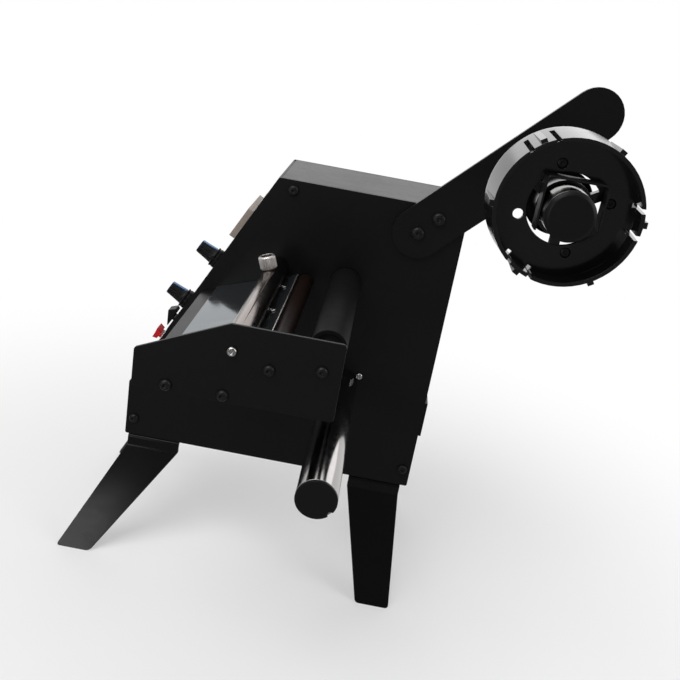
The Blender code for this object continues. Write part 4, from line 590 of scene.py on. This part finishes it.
print("grids become meshes, sharp from", round(math.degrees(SHARP_ANGLE)), "degrees")

# %% [markdown]
# No real corner is a knife edge. A profile is given by its corners alone, and each corner is then
# drawn as a short curve. That costs a few points and keeps every radius in the profile's hands.

# %% Softened corners
SIDE_SHARE, LEAST_LENGTH = 0.45, 1e-12


def softened(corners, cut, steps=4, closed=False):
    """The corners of a profile, each drawn as a short curve instead of a point.

    Each corner is left at a distance cut before it and met again cut after it, never more than
    SIDE_SHARE of a side. Between them runs a quadratic Bezier whose middle point is the corner.
    """
    corners = np.asarray(corners, float)
    before = np.roll(corners, 1, axis=0) - corners
    after = np.roll(corners, -1, axis=0) - corners
    cut = np.broadcast_to(np.asarray(cut, float), len(corners))
    length_before = np.linalg.norm(before, axis=1)
    length_after = np.linalg.norm(after, axis=1)
    back = before / np.maximum(length_before, LEAST_LENGTH)[:, None]
    forth = after / np.maximum(length_after, LEAST_LENGTH)[:, None]
    start = corners + back * np.minimum(cut, SIDE_SHARE * length_before)[:, None]
    end = corners + forth * np.minimum(cut, SIDE_SHARE * length_after)[:, None]
    t = np.linspace(0.0, 1.0, steps)[None, :, None]
    curve = ((1 - t) ** 2 * start[:, None] + 2 * t * (1 - t) * corners[:, None]
             + t ** 2 * end[:, None])
    if closed:
        return curve.reshape(-1, corners.shape[1])
    middle = curve[1:-1].reshape(-1, corners.shape[1])
    return np.concatenate([corners[:1], middle, corners[-1:]])


print("a corner takes up to", SIDE_SHARE, "of a side")

# %% [markdown]
# A turned piece is a profile swept round an axis. The Screw modifier could sweep it too, but an
# array also takes a factor for every height and angle, and notches, knurls and flutes need one.

# %% Rings round an axis
LONG_WAY = 128
NEARLY_UPRIGHT = 0.9


def round_angles(steps):
    """Evenly spaced angles round a circle, the last one short of the first."""
    return np.linspace(0.0, 2 * np.pi, steps, endpoint=False)


def axes_for(direction):
    """Three unit rows: two across the direction, by cross products, and the direction."""
    along = np.asarray(direction, float) / np.linalg.norm(direction)
    helper = (0.0, 0.0, 1.0) if abs(along[2]) < NEARLY_UPRIGHT else (1.0, 0.0, 0.0)
    across = np.cross(helper, along)
    across /= np.linalg.norm(across)
    return np.stack([across, np.cross(along, across), along])


def rings(origin, radius, height, angle, axes):
    """Rings of points: the radius times the angle's cosine and sine across, the height along."""
    across, beside, along = axes
    ring = np.cos(angle)[:, None] * across + np.sin(angle)[:, None] * beside
    return np.asarray(origin, float) + radius[..., None] * ring[None] + height[..., None] * along


def turned_grid(profile, origin, direction, steps=LONG_WAY, shape=None):
    """A profile of radius and height swept round an axis, each of its points into a ring.

    An optional shape gives, for each height and angle, a factor on the radius.
    """
    angle = round_angles(steps)
    radius = profile[:, :1] * np.ones((1, steps))
    if shape is not None:
        radius = radius * shape(profile[:, 1:2], angle[None, :])
    return rings(origin, radius, profile[:, 1:2], angle, axes_for(direction))


print("a ring has", LONG_WAY, "points unless a piece asks for another number")

# %% [markdown]
# ## Shafts, rollers and caps
#
# All of these turn about lines parallel to Y. Their axis and radius are read from the boxes of
# their CAD nodes, so the new surfaces lie exactly on them, but with 128 steps round and the small
# chamfer that a lathe leaves at each end.

# %% Turned pieces on the Y lines
TOWARDS_CAMERA = (0.0, -1.0, 0.0)
ROLLER_BORE, TUBE_BORE, COLLAR_BORE = 0.0033, 0.011, 0.0128


def middle_of(node):
    """The middle of a node's box."""
    return np.array([(low + high) / 2 for low, high in zip(*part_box(node))])


def radius_and_length(node):
    """The radius and the length of a round node whose axis runs along Y."""
    low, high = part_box(node)
    return (high.x - low.x) / 2, high.y - low.y


def turned_piece(node, corners, cut=0.0003, closed=False, material=None):
    """Replaces a node by its profile of radius and height, the height from the far end."""
    x, _, z = middle_of(node)
    profile = softened(corners, cut, closed=closed)
    grid = turned_grid(profile, (x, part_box(node)[1].y, z), TOWARDS_CAMERA)
    grid_piece(node + "_turned", grid, node, material, closed)


for node, bore, cut, material in (("rear_roller", ROLLER_BORE, 0.0004, brown_rubber),
                                  ("rewind_shaft", TUBE_BORE, 0.0003, None),
                                  ("stop_collar", COLLAR_BORE, 0.0008, None)):
    radius, length = radius_and_length(node)
    turned_piece(node, [(radius, 0.0), (radius, length), (bore, length), (bore, 0.0)], cut, True,
                 material)
print("turned: rear roller, rewind shaft and collar, all plain tubes")

# %% [markdown]
# The guide roller's near face has a sunk ring round its boss, the roll shaft is a tube whose far
# end is thick where the bolt goes in, and each spindle ends in a thin spigot in the near plate.

# %% Guide roller, roll shaft and spindles
GUIDE_BORE, SHAFT_HOLE, SHAFT_PLUG = 0.0043, 0.0033, 0.01
RING_OUTER, RING_INNER, RING_SINK, BOSS_SINK = 0.0086, 0.0052, 0.0012, 0.0004
SPIGOT_RADIUS, SPIGOT_LENGTH = 0.002, 0.0023
radius, length = radius_and_length("guide_roller")
turned_piece("guide_roller", [(GUIDE_BORE, 0.0), (radius, 0.0), (radius, length),
                              (RING_OUTER, length), (RING_OUTER, length - RING_SINK),
                              (RING_INNER, length - RING_SINK), (RING_INNER, length - BOSS_SINK),
                              (GUIDE_BORE, length - BOSS_SINK)], 0.0003, True,
             FINISHES["roller_rubber"])

radius, length = radius_and_length("roll_shaft")
# The roll shaft's darkened steel is painted shade from the hub.
turned_piece("roll_shaft", [(SHAFT_HOLE, 0.0), (radius, 0.0), (radius, length),
                            (TUBE_BORE, length), (TUBE_BORE, SHAFT_PLUG),
                            (SHAFT_HOLE, SHAFT_PLUG)], 0.0003, True, shade_darkened_steel)
for node in ("rear_spindle", "guide_spindle"):
    radius, length = radius_and_length(node)
    turned_piece(node, [(0.0, 0.0), (SPIGOT_RADIUS, 0.0), (SPIGOT_RADIUS, SPIGOT_LENGTH),
                        (radius, SPIGOT_LENGTH), (radius, length), (0.0, length)], 0.0004)
print("turned: guide roller, roll shaft and two spindles")

# %% [markdown]
# A plastic plug closes the near end of the roll shaft's tube. It is the same kind of sweep: a
# thin part inside the bore, then a flat cap with a rounded shoulder over the tube's end.

# %% Roll shaft cap
PLUG_RADIUS = 0.0107
ROLL_CAP_THICKNESS, SHOULDER, FLAT_RADIUS = 0.0025, 0.0012, 0.0105
radius, depth = radius_and_length("roll_shaft_cap")
face = depth - ROLL_CAP_THICKNESS
turned_piece("roll_shaft_cap", [(0.0, 0.0), (PLUG_RADIUS, 0.0), (PLUG_RADIUS, face),
                                (radius, face), (radius, depth - SHOULDER),
                                (FLAT_RADIUS, depth), (0.0, depth)], 0.0004)
print("cap of", round(2000 * radius, 1), "mm")

# %% [markdown]
# The rewind shaft's cap has a round notch in its rim, where the liner is tucked in. Where the two
# overlap, the rim's distance from the axis follows the notch's circle: the nearer root of the
# circle's equation. So the notch is part of the same surface.

# %% Rewind end cap
NOTCH_RADIUS, NOTCH_MARGIN = 0.002, 0.00005
NOTCH_ANGLE = math.radians(-40.0)
REWIND_CAP_THICKNESS, RIM, CAP_EDGE = 0.0018, 0.001, 0.0025


def notched(reach, radius, floor):
    """A factor on the radius that follows the notch circle for rings that reach past it.

    For the angle a from the notch's middle, the near side of the circle is at
    R cos a - sqrt(r^2 - R^2 sin^2 a), where R is the cap's radius and r the notch's.
    """
    def shape(height, angle):
        turn = angle - NOTCH_ANGLE
        inside = NOTCH_RADIUS ** 2 - (radius * np.sin(turn)) ** 2
        edge = radius * np.cos(turn) - np.sqrt(np.maximum(inside, 0.0))
        cut = (inside > 0) & (np.cos(turn) > 0) & (height > floor) & (reach > radius - RIM)
        return np.where(cut, edge / radius, 1.0)
    return shape


radius, depth = radius_and_length("rewind_end_cap")
face = depth - REWIND_CAP_THICKNESS
x, _, z = middle_of("rewind_end_cap")
profile = softened([(0.0, 0.0), (PLUG_RADIUS, 0.0), (PLUG_RADIUS, face), (radius, face),
                    (radius, depth), (radius - CAP_EDGE, depth), (0.0, depth)],
                   [0, 0.0003, 0.0001, 0.0002, 0.0004, 0, 0])
grid = turned_grid(profile, (x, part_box("rewind_end_cap")[1].y, z), TOWARDS_CAMERA, 2 * LONG_WAY,
                   notched(profile[:, :1], radius, face - NOTCH_MARGIN))
grid_piece("rewind_end_cap_notched", grid, "rewind_end_cap")
print("rewind cap with its notch at", round(math.degrees(NOTCH_ANGLE)), "degrees")

# %% [markdown]
# ## The press bar and its thumb screw
#
# The bar is a bright round with one milled flat, where the thumb screw stands. Round the flat the
# distance from the axis can't exceed the flat's height divided by the cosine of the angle to it.

# %% Press bar
TABLE_TILT = math.radians(19.5)
TABLE_UP = np.array([-math.sin(TABLE_TILT), 0.0, math.cos(TABLE_TILT)])
TABLE_ALONG = np.array([math.cos(TABLE_TILT), 0.0, math.sin(TABLE_TILT)])
SEAT_HEIGHT, SEAT_HALF, SEAT_STEP = 0.0068, 0.007, 0.00002
BAR_RADIUS, LEAST_COSINE, BAR_STEPS = 0.0075, 0.05, 192

bar_x, _, bar_z = middle_of("press_bar_screw")
thumb_y = middle_of("thumb_screw")[1]
bar_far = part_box("press_bar")[1].y
bar_length = bar_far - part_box("press_bar")[0].y
seat = bar_far - thumb_y
corners = [(0.0, 0.0), (SPIGOT_RADIUS, 0.0), (SPIGOT_RADIUS, SPIGOT_LENGTH),
           (BAR_RADIUS, SPIGOT_LENGTH), (BAR_RADIUS, seat - SEAT_HALF),
           (BAR_RADIUS, seat - SEAT_HALF + SEAT_STEP), (BAR_RADIUS, seat + SEAT_HALF - SEAT_STEP),
           (BAR_RADIUS, seat + SEAT_HALF), (BAR_RADIUS, bar_length), (0.0, bar_length)]
profile = softened(corners, [0, 0.0003, 0.0001, 0.0005, 0, 0, 0, 0, 0.0005, 0])
angle = round_angles(BAR_STEPS)
on_flat = np.abs(profile[:, 1:2] - seat) < SEAT_HALF - SEAT_STEP / 2
limit = SEAT_HEIGHT / np.maximum(np.cos(angle), LEAST_COSINE)[None, :]
radius = np.where(on_flat, np.minimum(profile[:, :1], limit), profile[:, :1])
grid = rings((bar_x, bar_far, bar_z), radius, profile[:, 1:2], angle,
             (TABLE_UP, TABLE_ALONG, np.array(TOWARDS_CAMERA)))
grid_piece("press_bar_milled", grid, "press_bar", bar_steel)
print("press bar", round(bar_length * 1000, 1), "mm long, flat at", round(seat * 1000, 1), "mm")

# %% [markdown]
# The thumb screw is turned by hand, so its head has a straight knurl: teeth that stop at both
# chamfered edges. Bump could make it look rough, but its outline would stay smooth, so the teeth
# are in the surface. The dark steel disc in its top is painted shade: it darkens the top face,
# which mirrors something dark, and has a shallow dip in its middle.

# %% Thumb screw
TEETH, TOOTH_STEPS = 26, 6
TOOTH_DEPTH, TOOTH_POWER = 0.06, 0.7
DISC_STEPS = 96
FOOT_GAP, HEAD_HEIGHT, SHANK_DEPTH = 0.0003, 0.0095, -0.0075
KNURL_START, KNURL_END, COLLAR_END = 0.0008, 0.0092, 0.0004


def knurl(height, angle):
    """Straight teeth on the head alone, as a factor on the radius.

    It is one less the depth times (one less the sine of half the teeth times the angle, taken
    positive and raised to TOOTH_POWER). Above and below the teeth it is one less half the depth.
    """
    head = (height > SEAT_HEIGHT + KNURL_START) & (height < SEAT_HEIGHT + KNURL_END)
    wave = np.abs(np.sin(angle * TEETH / 2)) ** TOOTH_POWER
    plain = 1.0 - TOOTH_DEPTH * 0.5 * (height > SEAT_HEIGHT + COLLAR_END)
    return np.where(head, 1.0 - TOOTH_DEPTH * (1 - wave), plain)


foot = SEAT_HEIGHT + FOOT_GAP
top = foot + HEAD_HEIGHT
thumb_profile = softened(
    [(0.0, SHANK_DEPTH), (0.0022, SHANK_DEPTH), (0.0022, foot), (0.0040, foot),
     (0.0052, foot + 0.0006), (0.0058, foot + 0.0012), (0.0058, top - 0.0011),
     (0.0054, top - 0.0003), (0.0050, top), (0.0044, top), (0.0042, top - 0.0006),
     (0.0, top - 0.0006)],
    [0, 0.0003, 0.0001, 0.0002, 0.0002, 0.0002, 0.0002, 0.0002, 0.0001, 0.0001, 0.0001, 0], 3)
thumb_place = (bar_x, thumb_y, bar_z)
head_grid = turned_grid(thumb_profile, thumb_place, TABLE_UP, TOOTH_STEPS * TEETH, knurl)
grid_piece("thumb_screw_knurled", head_grid, "thumb_screw")
# Painted shade: a black steel disc darkens the head's top, which mirrors something dark.
dark_top_profile = softened(
    [(0.0, top - 0.0009), (0.0043, top - 0.0009), (0.0043, top - 0.0002),
     (0.0016, top - 0.0002), (0.0016, top - 0.0007), (0.0, top - 0.0007)],
    [0, 0.0001, 0.0001, 0.0001, 0.0001, 0], 3)
grid_piece("thumb_screw_painted_dark_top", turned_grid(dark_top_profile, thumb_place, TABLE_UP, DISC_STEPS),
           "thumb_screw", FINISHES["black_steel"], beside=True)
print("thumb screw with", TEETH, "teeth")

# %% [markdown]
# ## Screws
#
# One formula makes every screw: rings from the middle of the socket's floor, up its six flat
# walls, over the dome and down to the seat. Each ring has a share between circle and hexagon. A
# hexagon's side is at cos 30 degrees over the cosine of the angle to the middle of that side.

# %% Socket screws
HEAD_LIFT, SCREW_STEPS, SOCKET_DEPTH = 0.0003, 48, 0.0011
# Radius of the head, its height, radius of the socket, radius of the shank, length below the head
CASING_SCREW = (0.0038, 0.0021, 0.0014, 0.0019, 0.0055)
MOTOR_SCREW = (0.0026, 0.0012, 0.0010, 0.0014, 0.0055)
TABLE_SCREW = (0.0033, 0.0019, 0.0014, 0.0015, 0.006)
BAR_SCREW = (0.0030, 0.0020, 0.0014, 0.0019, 0.009)
ARM_SCREW = (0.00475, 0.0026, 0.0018, 0.0024, 0.009)
PEEL_SCREW = (0.0026, 0.0006, 0.0009, 0.0014, 0.0055)
ROLL_BOLT = (0.0058, 0.004, 0.0025, 0.003, 0.011)
HUB_SCREW = (0.00278, 0.0011, 0.0010, 0.0015, 0.003)


def screw_grid(place, direction, head, height, socket, shank, length):
    """Rings of a button-head screw along a direction: socket floor, walls, dome, seat, shank.

    Each row gives a radius, a height and the hexagon's share s, and the ring's radius is the
    row's times (1 - s + s h), where h is the hexagon's distance for a circle of one.
    """
    depth = min(SOCKET_DEPTH, height / 2)
    rows = np.array([
        (0.0, height - depth - 0.0003, 0.0), (socket * 0.55, height - depth - 0.0002, 0.5),
        (socket * 0.96, height - depth, 1.0), (socket, height - depth + 0.0001, 1.0),
        (socket, height - 0.0001, 1.0), (socket + 0.00012, height, 1.0),
        (socket + 0.0004, height, 0.3), (head * 0.62, height * 0.985, 0.0),
        (head * 0.76, height * 0.88, 0.0), (head * 0.88, height * 0.68, 0.0),
        (head * 0.96, height * 0.40, 0.0), (head, height * 0.10, 0.0),
        (head, 0.0, 0.0), (shank, 0.0, 0.0), (shank, -length, 0.0), (0.0, -length, 0.0)])
    angle = round_angles(SCREW_STEPS)
    side = np.mod(angle, np.pi / 3) - np.pi / 6
    hexagon = np.cos(np.pi / 6) / np.cos(side)
    radius = rows[:, :1] * ((1 - rows[:, 2:]) + rows[:, 2:] * hexagon[None, :])
    axes = axes_for(direction)
    return rings(place + HEAD_LIFT * axes[2], radius, rows[:, 1:2], angle, axes)


NEAR_PLATE_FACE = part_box("side_plate_near")[0].y
OUTER_PLATE_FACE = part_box("outer_plate")[0].y
ARM_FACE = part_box("roll_arm")[0].y
SCREWS = [
    (CASING_SCREW, NEAR_PLATE_FACE, "casing_screw_front casing_screw_rear casing_screw_top"),
    (MOTOR_SCREW, NEAR_PLATE_FACE, "motor_screw"),
    (TABLE_SCREW, OUTER_PLATE_FACE,
     "table_screw_front table_screw_rear rear_spindle_screw guide_spindle_screw"),
    (BAR_SCREW, OUTER_PLATE_FACE, "press_bar_screw"),
    (ARM_SCREW, ARM_FACE, "arm_screw_lower arm_screw_upper")]
for sizes, face, nodes in SCREWS:
    for node in nodes.split():
        x, _, z = middle_of(node)
        grid_piece(node + "_socketed", screw_grid((x, face, z), TOWARDS_CAMERA, *sizes), node)
    print(nodes, "on the face at y", round(face, 4))

# %% [markdown]
# The peel plate's screws stand square to the tilted table, so only their direction differs. The
# bolt that holds the roll shaft comes from behind the arm, and its axis is also the hub's.

# %% Peel plate screws and the roll shaft's bolt
for node in ("peel_screw_inner", "peel_screw_outer"):
    head_height, screw_length = PEEL_SCREW[1], PEEL_SCREW[-1]
    middle_to_seat = (screw_length + HEAD_LIFT - head_height) / 2
    seat_point = middle_of(node) + TABLE_UP * middle_to_seat - TABLE_UP * HEAD_LIFT
    grid_piece(node + "_socketed", screw_grid(seat_point, TABLE_UP, *PEEL_SCREW), node)
HUB_X, _, HUB_Z = middle_of("roll_shaft_bolt")
bolt_place = (HUB_X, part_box("roll_shaft_bolt")[1].y - ROLL_BOLT[1] - HEAD_LIFT, HUB_Z)
grid_piece("roll_shaft_bolt_socketed", screw_grid(bolt_place, (0.0, 1.0, 0.0), *ROLL_BOLT),
           "roll_shaft_bolt")
print("bolt behind the arm at", [round(float(value), 4) for value in bolt_place])

# %% [markdown]
# Three of the four holes in the floor of the hub hold a dark screw, sunk a little below the face.
# The CAD model leaves them out, so they replace nothing, and ride on the hub's body.

# %% Small screws in the hub's floor
HOLE_CIRCLE = 0.0226
HUB_FLOOR, SINK = -0.122512, 0.0018
for label, degrees in (("right", 16.6), ("upper", 106.6), ("lower", 286.6)):
    turn = math.radians(degrees)
    seat_point = (HUB_X + HOLE_CIRCLE * math.cos(turn), HUB_FLOOR + SINK,
                  HUB_Z + HOLE_CIRCLE * math.sin(turn))
    grid_piece("hub_floor_screw_" + label, screw_grid(seat_point, TOWARDS_CAMERA, *HUB_SCREW),
               "core_hub", FINISHES["black_steel"], beside=True)
print("three screws on a circle of", round(2000 * HOLE_CIRCLE, 1), "mm")

# %% [markdown]
# ## Legs and the hub's brake leaf
#
# Both are flat strips bent across their length. The outer face follows a path with rounded
# corners, a rounded rectangle is carried along it, and each end is closed by a fan to its middle.

# %% Bent strips
X_WAY, Y_WAY = np.array([1.0, 0.0, 0.0]), np.array([0.0, 1.0, 0.0])


def bent_strip(path, normals_side, centres, halves, sheet, edge, across, level_tip=False):
    """A rounded rectangle carried along a path of points.

    It reaches half the width each way along across, and from 0 to the sheet's thickness against
    the path's normal, which is its direction turned a quarter turn in the plane square to across.
    A level tip slides the points that fall below the ground back up along the strip.
    """
    ahead = np.gradient(path, axis=0)
    ahead /= np.linalg.norm(ahead, axis=1)[:, None]
    normal = np.cross(ahead, across) * normals_side
    section = np.array([(-1, 0, 1, 0), (1, 0, -1, 0), (1, 0, 0, -1), (1, -1, 0, 1),
                        (1, -1, -1, 0), (-1, -1, 1, 0), (-1, -1, 0, 1), (-1, 0, 0, -1)], float)
    side = section[:, 0][None] * halves[:, None] + section[:, 2][None] * edge
    depth = section[:, 1][None] * sheet + section[:, 3][None] * edge
    middle = path + centres[:, None] * across
    body = middle[:, None] + side[..., None] * across + depth[..., None] * normal[:, None]
    if level_tip:
        way = ahead[-1]
        below = np.minimum(body[..., 2], 0.0)
        below[-1] = body[-1, :, 2]
        body -= (below / way[2])[..., None] * way
    ends = [np.broadcast_to(body[row].mean(axis=0), body[row].shape)[None] for row in (0, -1)]
    return np.concatenate([ends[0], body, ends[1]])


print("a strip's section has 8 points")

# %% [markdown]
# Each leg is one bent sheet: a level tab under the casing, a short drop at its edge, and a
# splayed shank that narrows to a level tip with rounded corners. Its width follows from the
# height alone, as a share of the way from the bend to the ground, so one function makes all four.

# %% Legs
LEG_TOP, LEG_BEND, TAB_LENGTH = 0.0884, 0.0794, 0.025
LEG_SPREAD = math.tan(math.radians(25.0))
LEG_SHEET, LEG_EDGE = 0.003, 0.0004
LEG_HALF, TIP_HALF = 0.02025, 0.0131
TIP_ROUNDING, TIP_STEPS = 0.0024, 7
REAR_TOP_INSET, REAR_TIP_INSET = 0.0253, 0.0098
FAR_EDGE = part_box("side_plate_far")[1].y


def leg_grid(top_x, tip_x, side):
    """One leg, on the near side for -1 and on the far side for 1.

    The tip's corners are quarter circles: for the turn a, the height is r (1 - sin a) and the
    half width loses r (1 - cos a), where r is the rounding.
    """
    edge = NEAR_PLATE_FACE if side < 0 else FAR_EDGE
    corners = [(0.0, edge - side * TAB_LENGTH, LEG_TOP), (0.0, edge, LEG_TOP),
               (0.0, edge, LEG_BEND), (0.0, edge + side * LEG_BEND * LEG_SPREAD, 0.0)]
    path = softened(corners, [0, 0.0042, 0.0016, 0], 7)
    turn = np.linspace(0.0, np.pi / 2, TIP_STEPS)
    tip_heights = TIP_ROUNDING * (1 - np.sin(turn))
    tip_reach = edge + side * (LEG_BEND - tip_heights) * LEG_SPREAD
    path = np.concatenate([path[:-1], np.stack([0 * turn, tip_reach, tip_heights], axis=-1)])
    share = np.clip((LEG_BEND - path[:, 2]) / LEG_BEND, 0.0, 1.0)
    centres = top_x + (tip_x - top_x) * share
    halves = LEG_HALF + (TIP_HALF - LEG_HALF) * share
    halves[-TIP_STEPS:] -= TIP_ROUNDING * (1 - np.cos(turn))
    return bent_strip(path, -side, centres, halves, LEG_SHEET, LEG_EDGE, X_WAY, True)


low_front, high_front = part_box("front_leg_near")
plate_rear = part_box("side_plate_near")[1].x
LEG_LINES = {"front": (high_front.x - LEG_HALF, low_front.x + TIP_HALF),
             "rear": (plate_rear - REAR_TOP_INSET, plate_rear - REAR_TIP_INSET)}
for name, (top_x, tip_x) in LEG_LINES.items():
    for place, side in (("near", -1), ("far", 1)):
        node = f"{name}_leg_{place}"
        grid_piece(node + "_bent", leg_grid(top_x, tip_x, side), node, leg_coat)
    print(name, "legs run in x from", round(top_x, 4), "to", round(tip_x, 4))

# %% [markdown]
# The brake leaf is spring steel bent round the shaft inside the hub, to keep the roll from
# running on. It is the same strip along five corners, moved out by half its thickness, so that
# the path runs through the middle of the sheet.

# %% Brake leaf in the hub
LEAF_SHEET, LEAF_EDGE = 0.001, 0.00015
leaf_low, leaf_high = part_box("hub_spring")
leaf_middle = (leaf_low.y + leaf_high.y) / 2
leaf_half = (leaf_high.y - leaf_low.y) / 2
corners = np.array([(-0.0133, 0.0, -0.011), (-0.0133, 0.0, 0.016), (0.017, 0.0, 0.016),
                    (0.017, 0.0, -0.007), (0.010, 0.0, -0.0135)])
path = softened(corners + np.array([HUB_X, 0.0, HUB_Z]), [0, 0.0022, 0.0022, 0.0016, 0], 7)
strip = bent_strip(path, 1.0, np.full(len(path), leaf_middle), np.full(len(path), leaf_half),
                   LEAF_SHEET, LEAF_EDGE, Y_WAY)
outward = np.cross(np.gradient(path, axis=0), Y_WAY)
outward /= np.linalg.norm(outward, axis=1)[:, None]
strip += LEAF_SHEET / 2 * np.concatenate([outward[:1], outward, outward[-1:]])[:, None]
grid_piece("hub_spring_bent", strip, "hub_spring")
print("brake leaf", round(2000 * leaf_half, 1), "mm wide")

# %% [markdown]
# The cut edges of the peel plate are ground, not polished, so they stay light where the polished
# face mirrors the black casing. A narrow strip of light steel laid along its rear edge shows that,
# and its light colour also paints the highlight that the edge catches.

# %% Ground edge of the peel plate, with its painted highlight
STRIP_HALF, STRIP_SHEET, STRIP_EDGE = 0.00035, 0.00022, 0.00005
STRIP_POINTS, STRIP_INSET, STRIP_SINK, END_INSET = 12, 0.0001, 0.00012, 0.0004
REAR_BAND = 0.002
plate_low, plate_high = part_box("peel_plate")
points = np.array([vertex.co[:] for vertex in frame["nodes"]["peel_plate"].data.vertices])
along, up = points @ TABLE_ALONG, points @ TABLE_UP
rear, top = along.max(), up[along > along.max() - REAR_BAND].max()
corner = rear * TABLE_ALONG + top * TABLE_UP
length_way = np.linspace(plate_low.y + END_INSET, plate_high.y - END_INSET, STRIP_POINTS)
path = (corner - (STRIP_HALF + STRIP_INSET) * TABLE_ALONG + (STRIP_SHEET - STRIP_SINK) * TABLE_UP
        + length_way[:, None] * Y_WAY)
strip = bent_strip(path, 1.0, np.zeros(STRIP_POINTS), np.full(STRIP_POINTS, STRIP_HALF),
                   STRIP_SHEET, STRIP_EDGE, TABLE_ALONG)
# The light steel strip is partly a ground edge and partly a painted highlight along the rear edge.
grid_piece("peel_plate_rear_edge", strip, "peel_plate", FINISHES["plain_steel"], beside=True)
print("ground edge at", np.round(corner, 4), "over", round(plate_high.y - plate_low.y, 4), "m")

# %% [markdown]
# ## Knobs and the reset button
#
# Each knob is a skirt with a tapered grip whose flutes are rounded grooves. The radius dips with
# a power of a cosine at each groove and the dip fades in above the skirt, so one surface holds
# skirt, flutes and crown. A blue stripe up the grip is the pointer.

# %% Knobs
FLUTES, FLUTE_STEPS, FLUTE_DEPTH, FLUTE_POWER = 18, 12, 0.075, 3
FLUTE_START, FLUTE_FADE_IN = 0.0056, 0.0012
FLUTE_END, FLUTE_FADE_OUT = 0.0009, 0.0008
SLOPE_OUT = np.array([-0.88501, 0.0, 0.46558])
SLOPE_UP = np.array([0.46558, 0.0, 0.88501])
KNOB_LIFT, KNOB_TOP, CAP_STEPS = 0.0003, 0.0179, 64
joint_of = {joint["child"]: joint for joint in frame["joints"]}


def fluted(height, angle):
    """Grooves on the grip, as a factor on the radius.

    It is one less the depth times (half of one plus the cosine of the flutes times the angle,
    raised to FLUTE_POWER), faded in above the skirt and out below the crown.
    """
    groove = (0.5 + 0.5 * np.cos(angle * FLUTES)) ** FLUTE_POWER
    fade_in = np.clip((height - FLUTE_START) / FLUTE_FADE_IN, 0.0, 1.0)
    fade_out = np.clip((KNOB_TOP - FLUTE_END - height) / FLUTE_FADE_OUT, 0.0, 1.0)
    return 1.0 - FLUTE_DEPTH * groove * (fade_in * fade_out)


KNOB_PROFILE = softened(
    [(0.0, KNOB_TOP - 0.0011), (0.0040, KNOB_TOP - 0.0011), (0.0040, KNOB_TOP),
     (0.0048, KNOB_TOP), (0.00495, KNOB_TOP - 0.0009), (0.0052, 0.0140), (0.0056, 0.0095),
     (0.0060, 0.0058), (0.0064, 0.0050), (0.0078, 0.0050), (0.0078, 0.0039), (0.0074, 0.0037),
     (0.0074, 0.0028), (0.0077, 0.0026), (0.0077, KNOB_LIFT), (0.0033, KNOB_LIFT),
     (0.0033, 0.0118), (0.0, 0.0118)],
    [0, 0.0001, 0.0002, 0.0003, 0.0002, 0.002, 0.002, 0.0003, 0.0003, 0.0003, 0.0002, 0.0001,
     0.0001, 0.0001, 0.0003, 0.0002, 0.0002, 0], 5)
CAP_PROFILE = softened(
    [(0.0, KNOB_TOP - 0.0008), (0.0037, KNOB_TOP - 0.0008), (0.0037, KNOB_TOP + 0.0001),
     (0.0047, KNOB_TOP + 0.0001), (0.0047, KNOB_TOP + 0.0004), (0.0, KNOB_TOP + 0.0005)],
    [0, 0.0001, 0.0001, 0.0001, 0.0002, 0])
STRIPE_HALF, STRIPE_SHEET, STRIPE_EDGE = 0.0016, 0.0009, 0.0002


def stripe_grid(origin):
    """The pointer: a thin band on the grip's upper side, its path given by reach and height."""
    along = np.array([(0.0036, KNOB_TOP + 0.0002), (0.00525, KNOB_TOP + 0.0001),
                      (0.0056, 0.0130), (0.0060, 0.0092), (0.0064, 0.0056)])
    path = softened(origin + along[:, :1] * SLOPE_UP + along[:, 1:] * SLOPE_OUT, 0.0004)
    count = len(path)
    return bent_strip(path, 1.0, np.zeros(count), np.full(count, STRIPE_HALF), STRIPE_SHEET,
                      STRIPE_EDGE, Y_WAY)


for name in ("speed", "delay"):
    node = name + "_knob"
    origin = np.array(joint_of[name + "_control"]["pos_m"])
    grip = turned_grid(KNOB_PROFILE, origin, SLOPE_OUT, FLUTE_STEPS * FLUTES, fluted)
    grid_piece(node + "_fluted", grip, node)
    disc = turned_grid(CAP_PROFILE, origin, SLOPE_OUT, CAP_STEPS)
    grid_piece(node + "_cap_disc", disc, node + "_cap")
    grid_piece(node + "_pointer", stripe_grid(origin), node + "_cap", beside=True)
print("two knobs with", FLUTES, "flutes")

# %% [markdown]
# The reset button is a small round cap with a dished top. It is one more sweep, as long as its
# stem and the part that stands out: the box of a tilted cylinder would make it too long.

# %% Reset button
BUTTON_STEM, BUTTON_PROUD, BUTTON_RADIUS = 0.005, 0.0008, 0.0048
BUTTON_RIM, BUTTON_DISH, BUTTON_STEPS = 0.0036, 0.0005, 72
half = (BUTTON_STEM + BUTTON_PROUD) / 2
profile = softened([(0.0, -half), (BUTTON_RADIUS, -half), (BUTTON_RADIUS, half),
                    (BUTTON_RIM, half), (0.0, half - BUTTON_DISH)],
                   [0, 0.0002, 0.0007, 0.0005, 0], 5)
grid = turned_grid(profile, middle_of("reset_button"), SLOPE_OUT, BUTTON_STEPS)
grid_piece("reset_button_dished", grid, "reset_button")
print("reset button", round(2000 * BUTTON_RADIUS, 1), "mm across")

# %% [markdown]
# ## The last line
#
# The view layer is updated once more, so every piece's place is current.

# %% Update
bpy.context.view_layer.update()
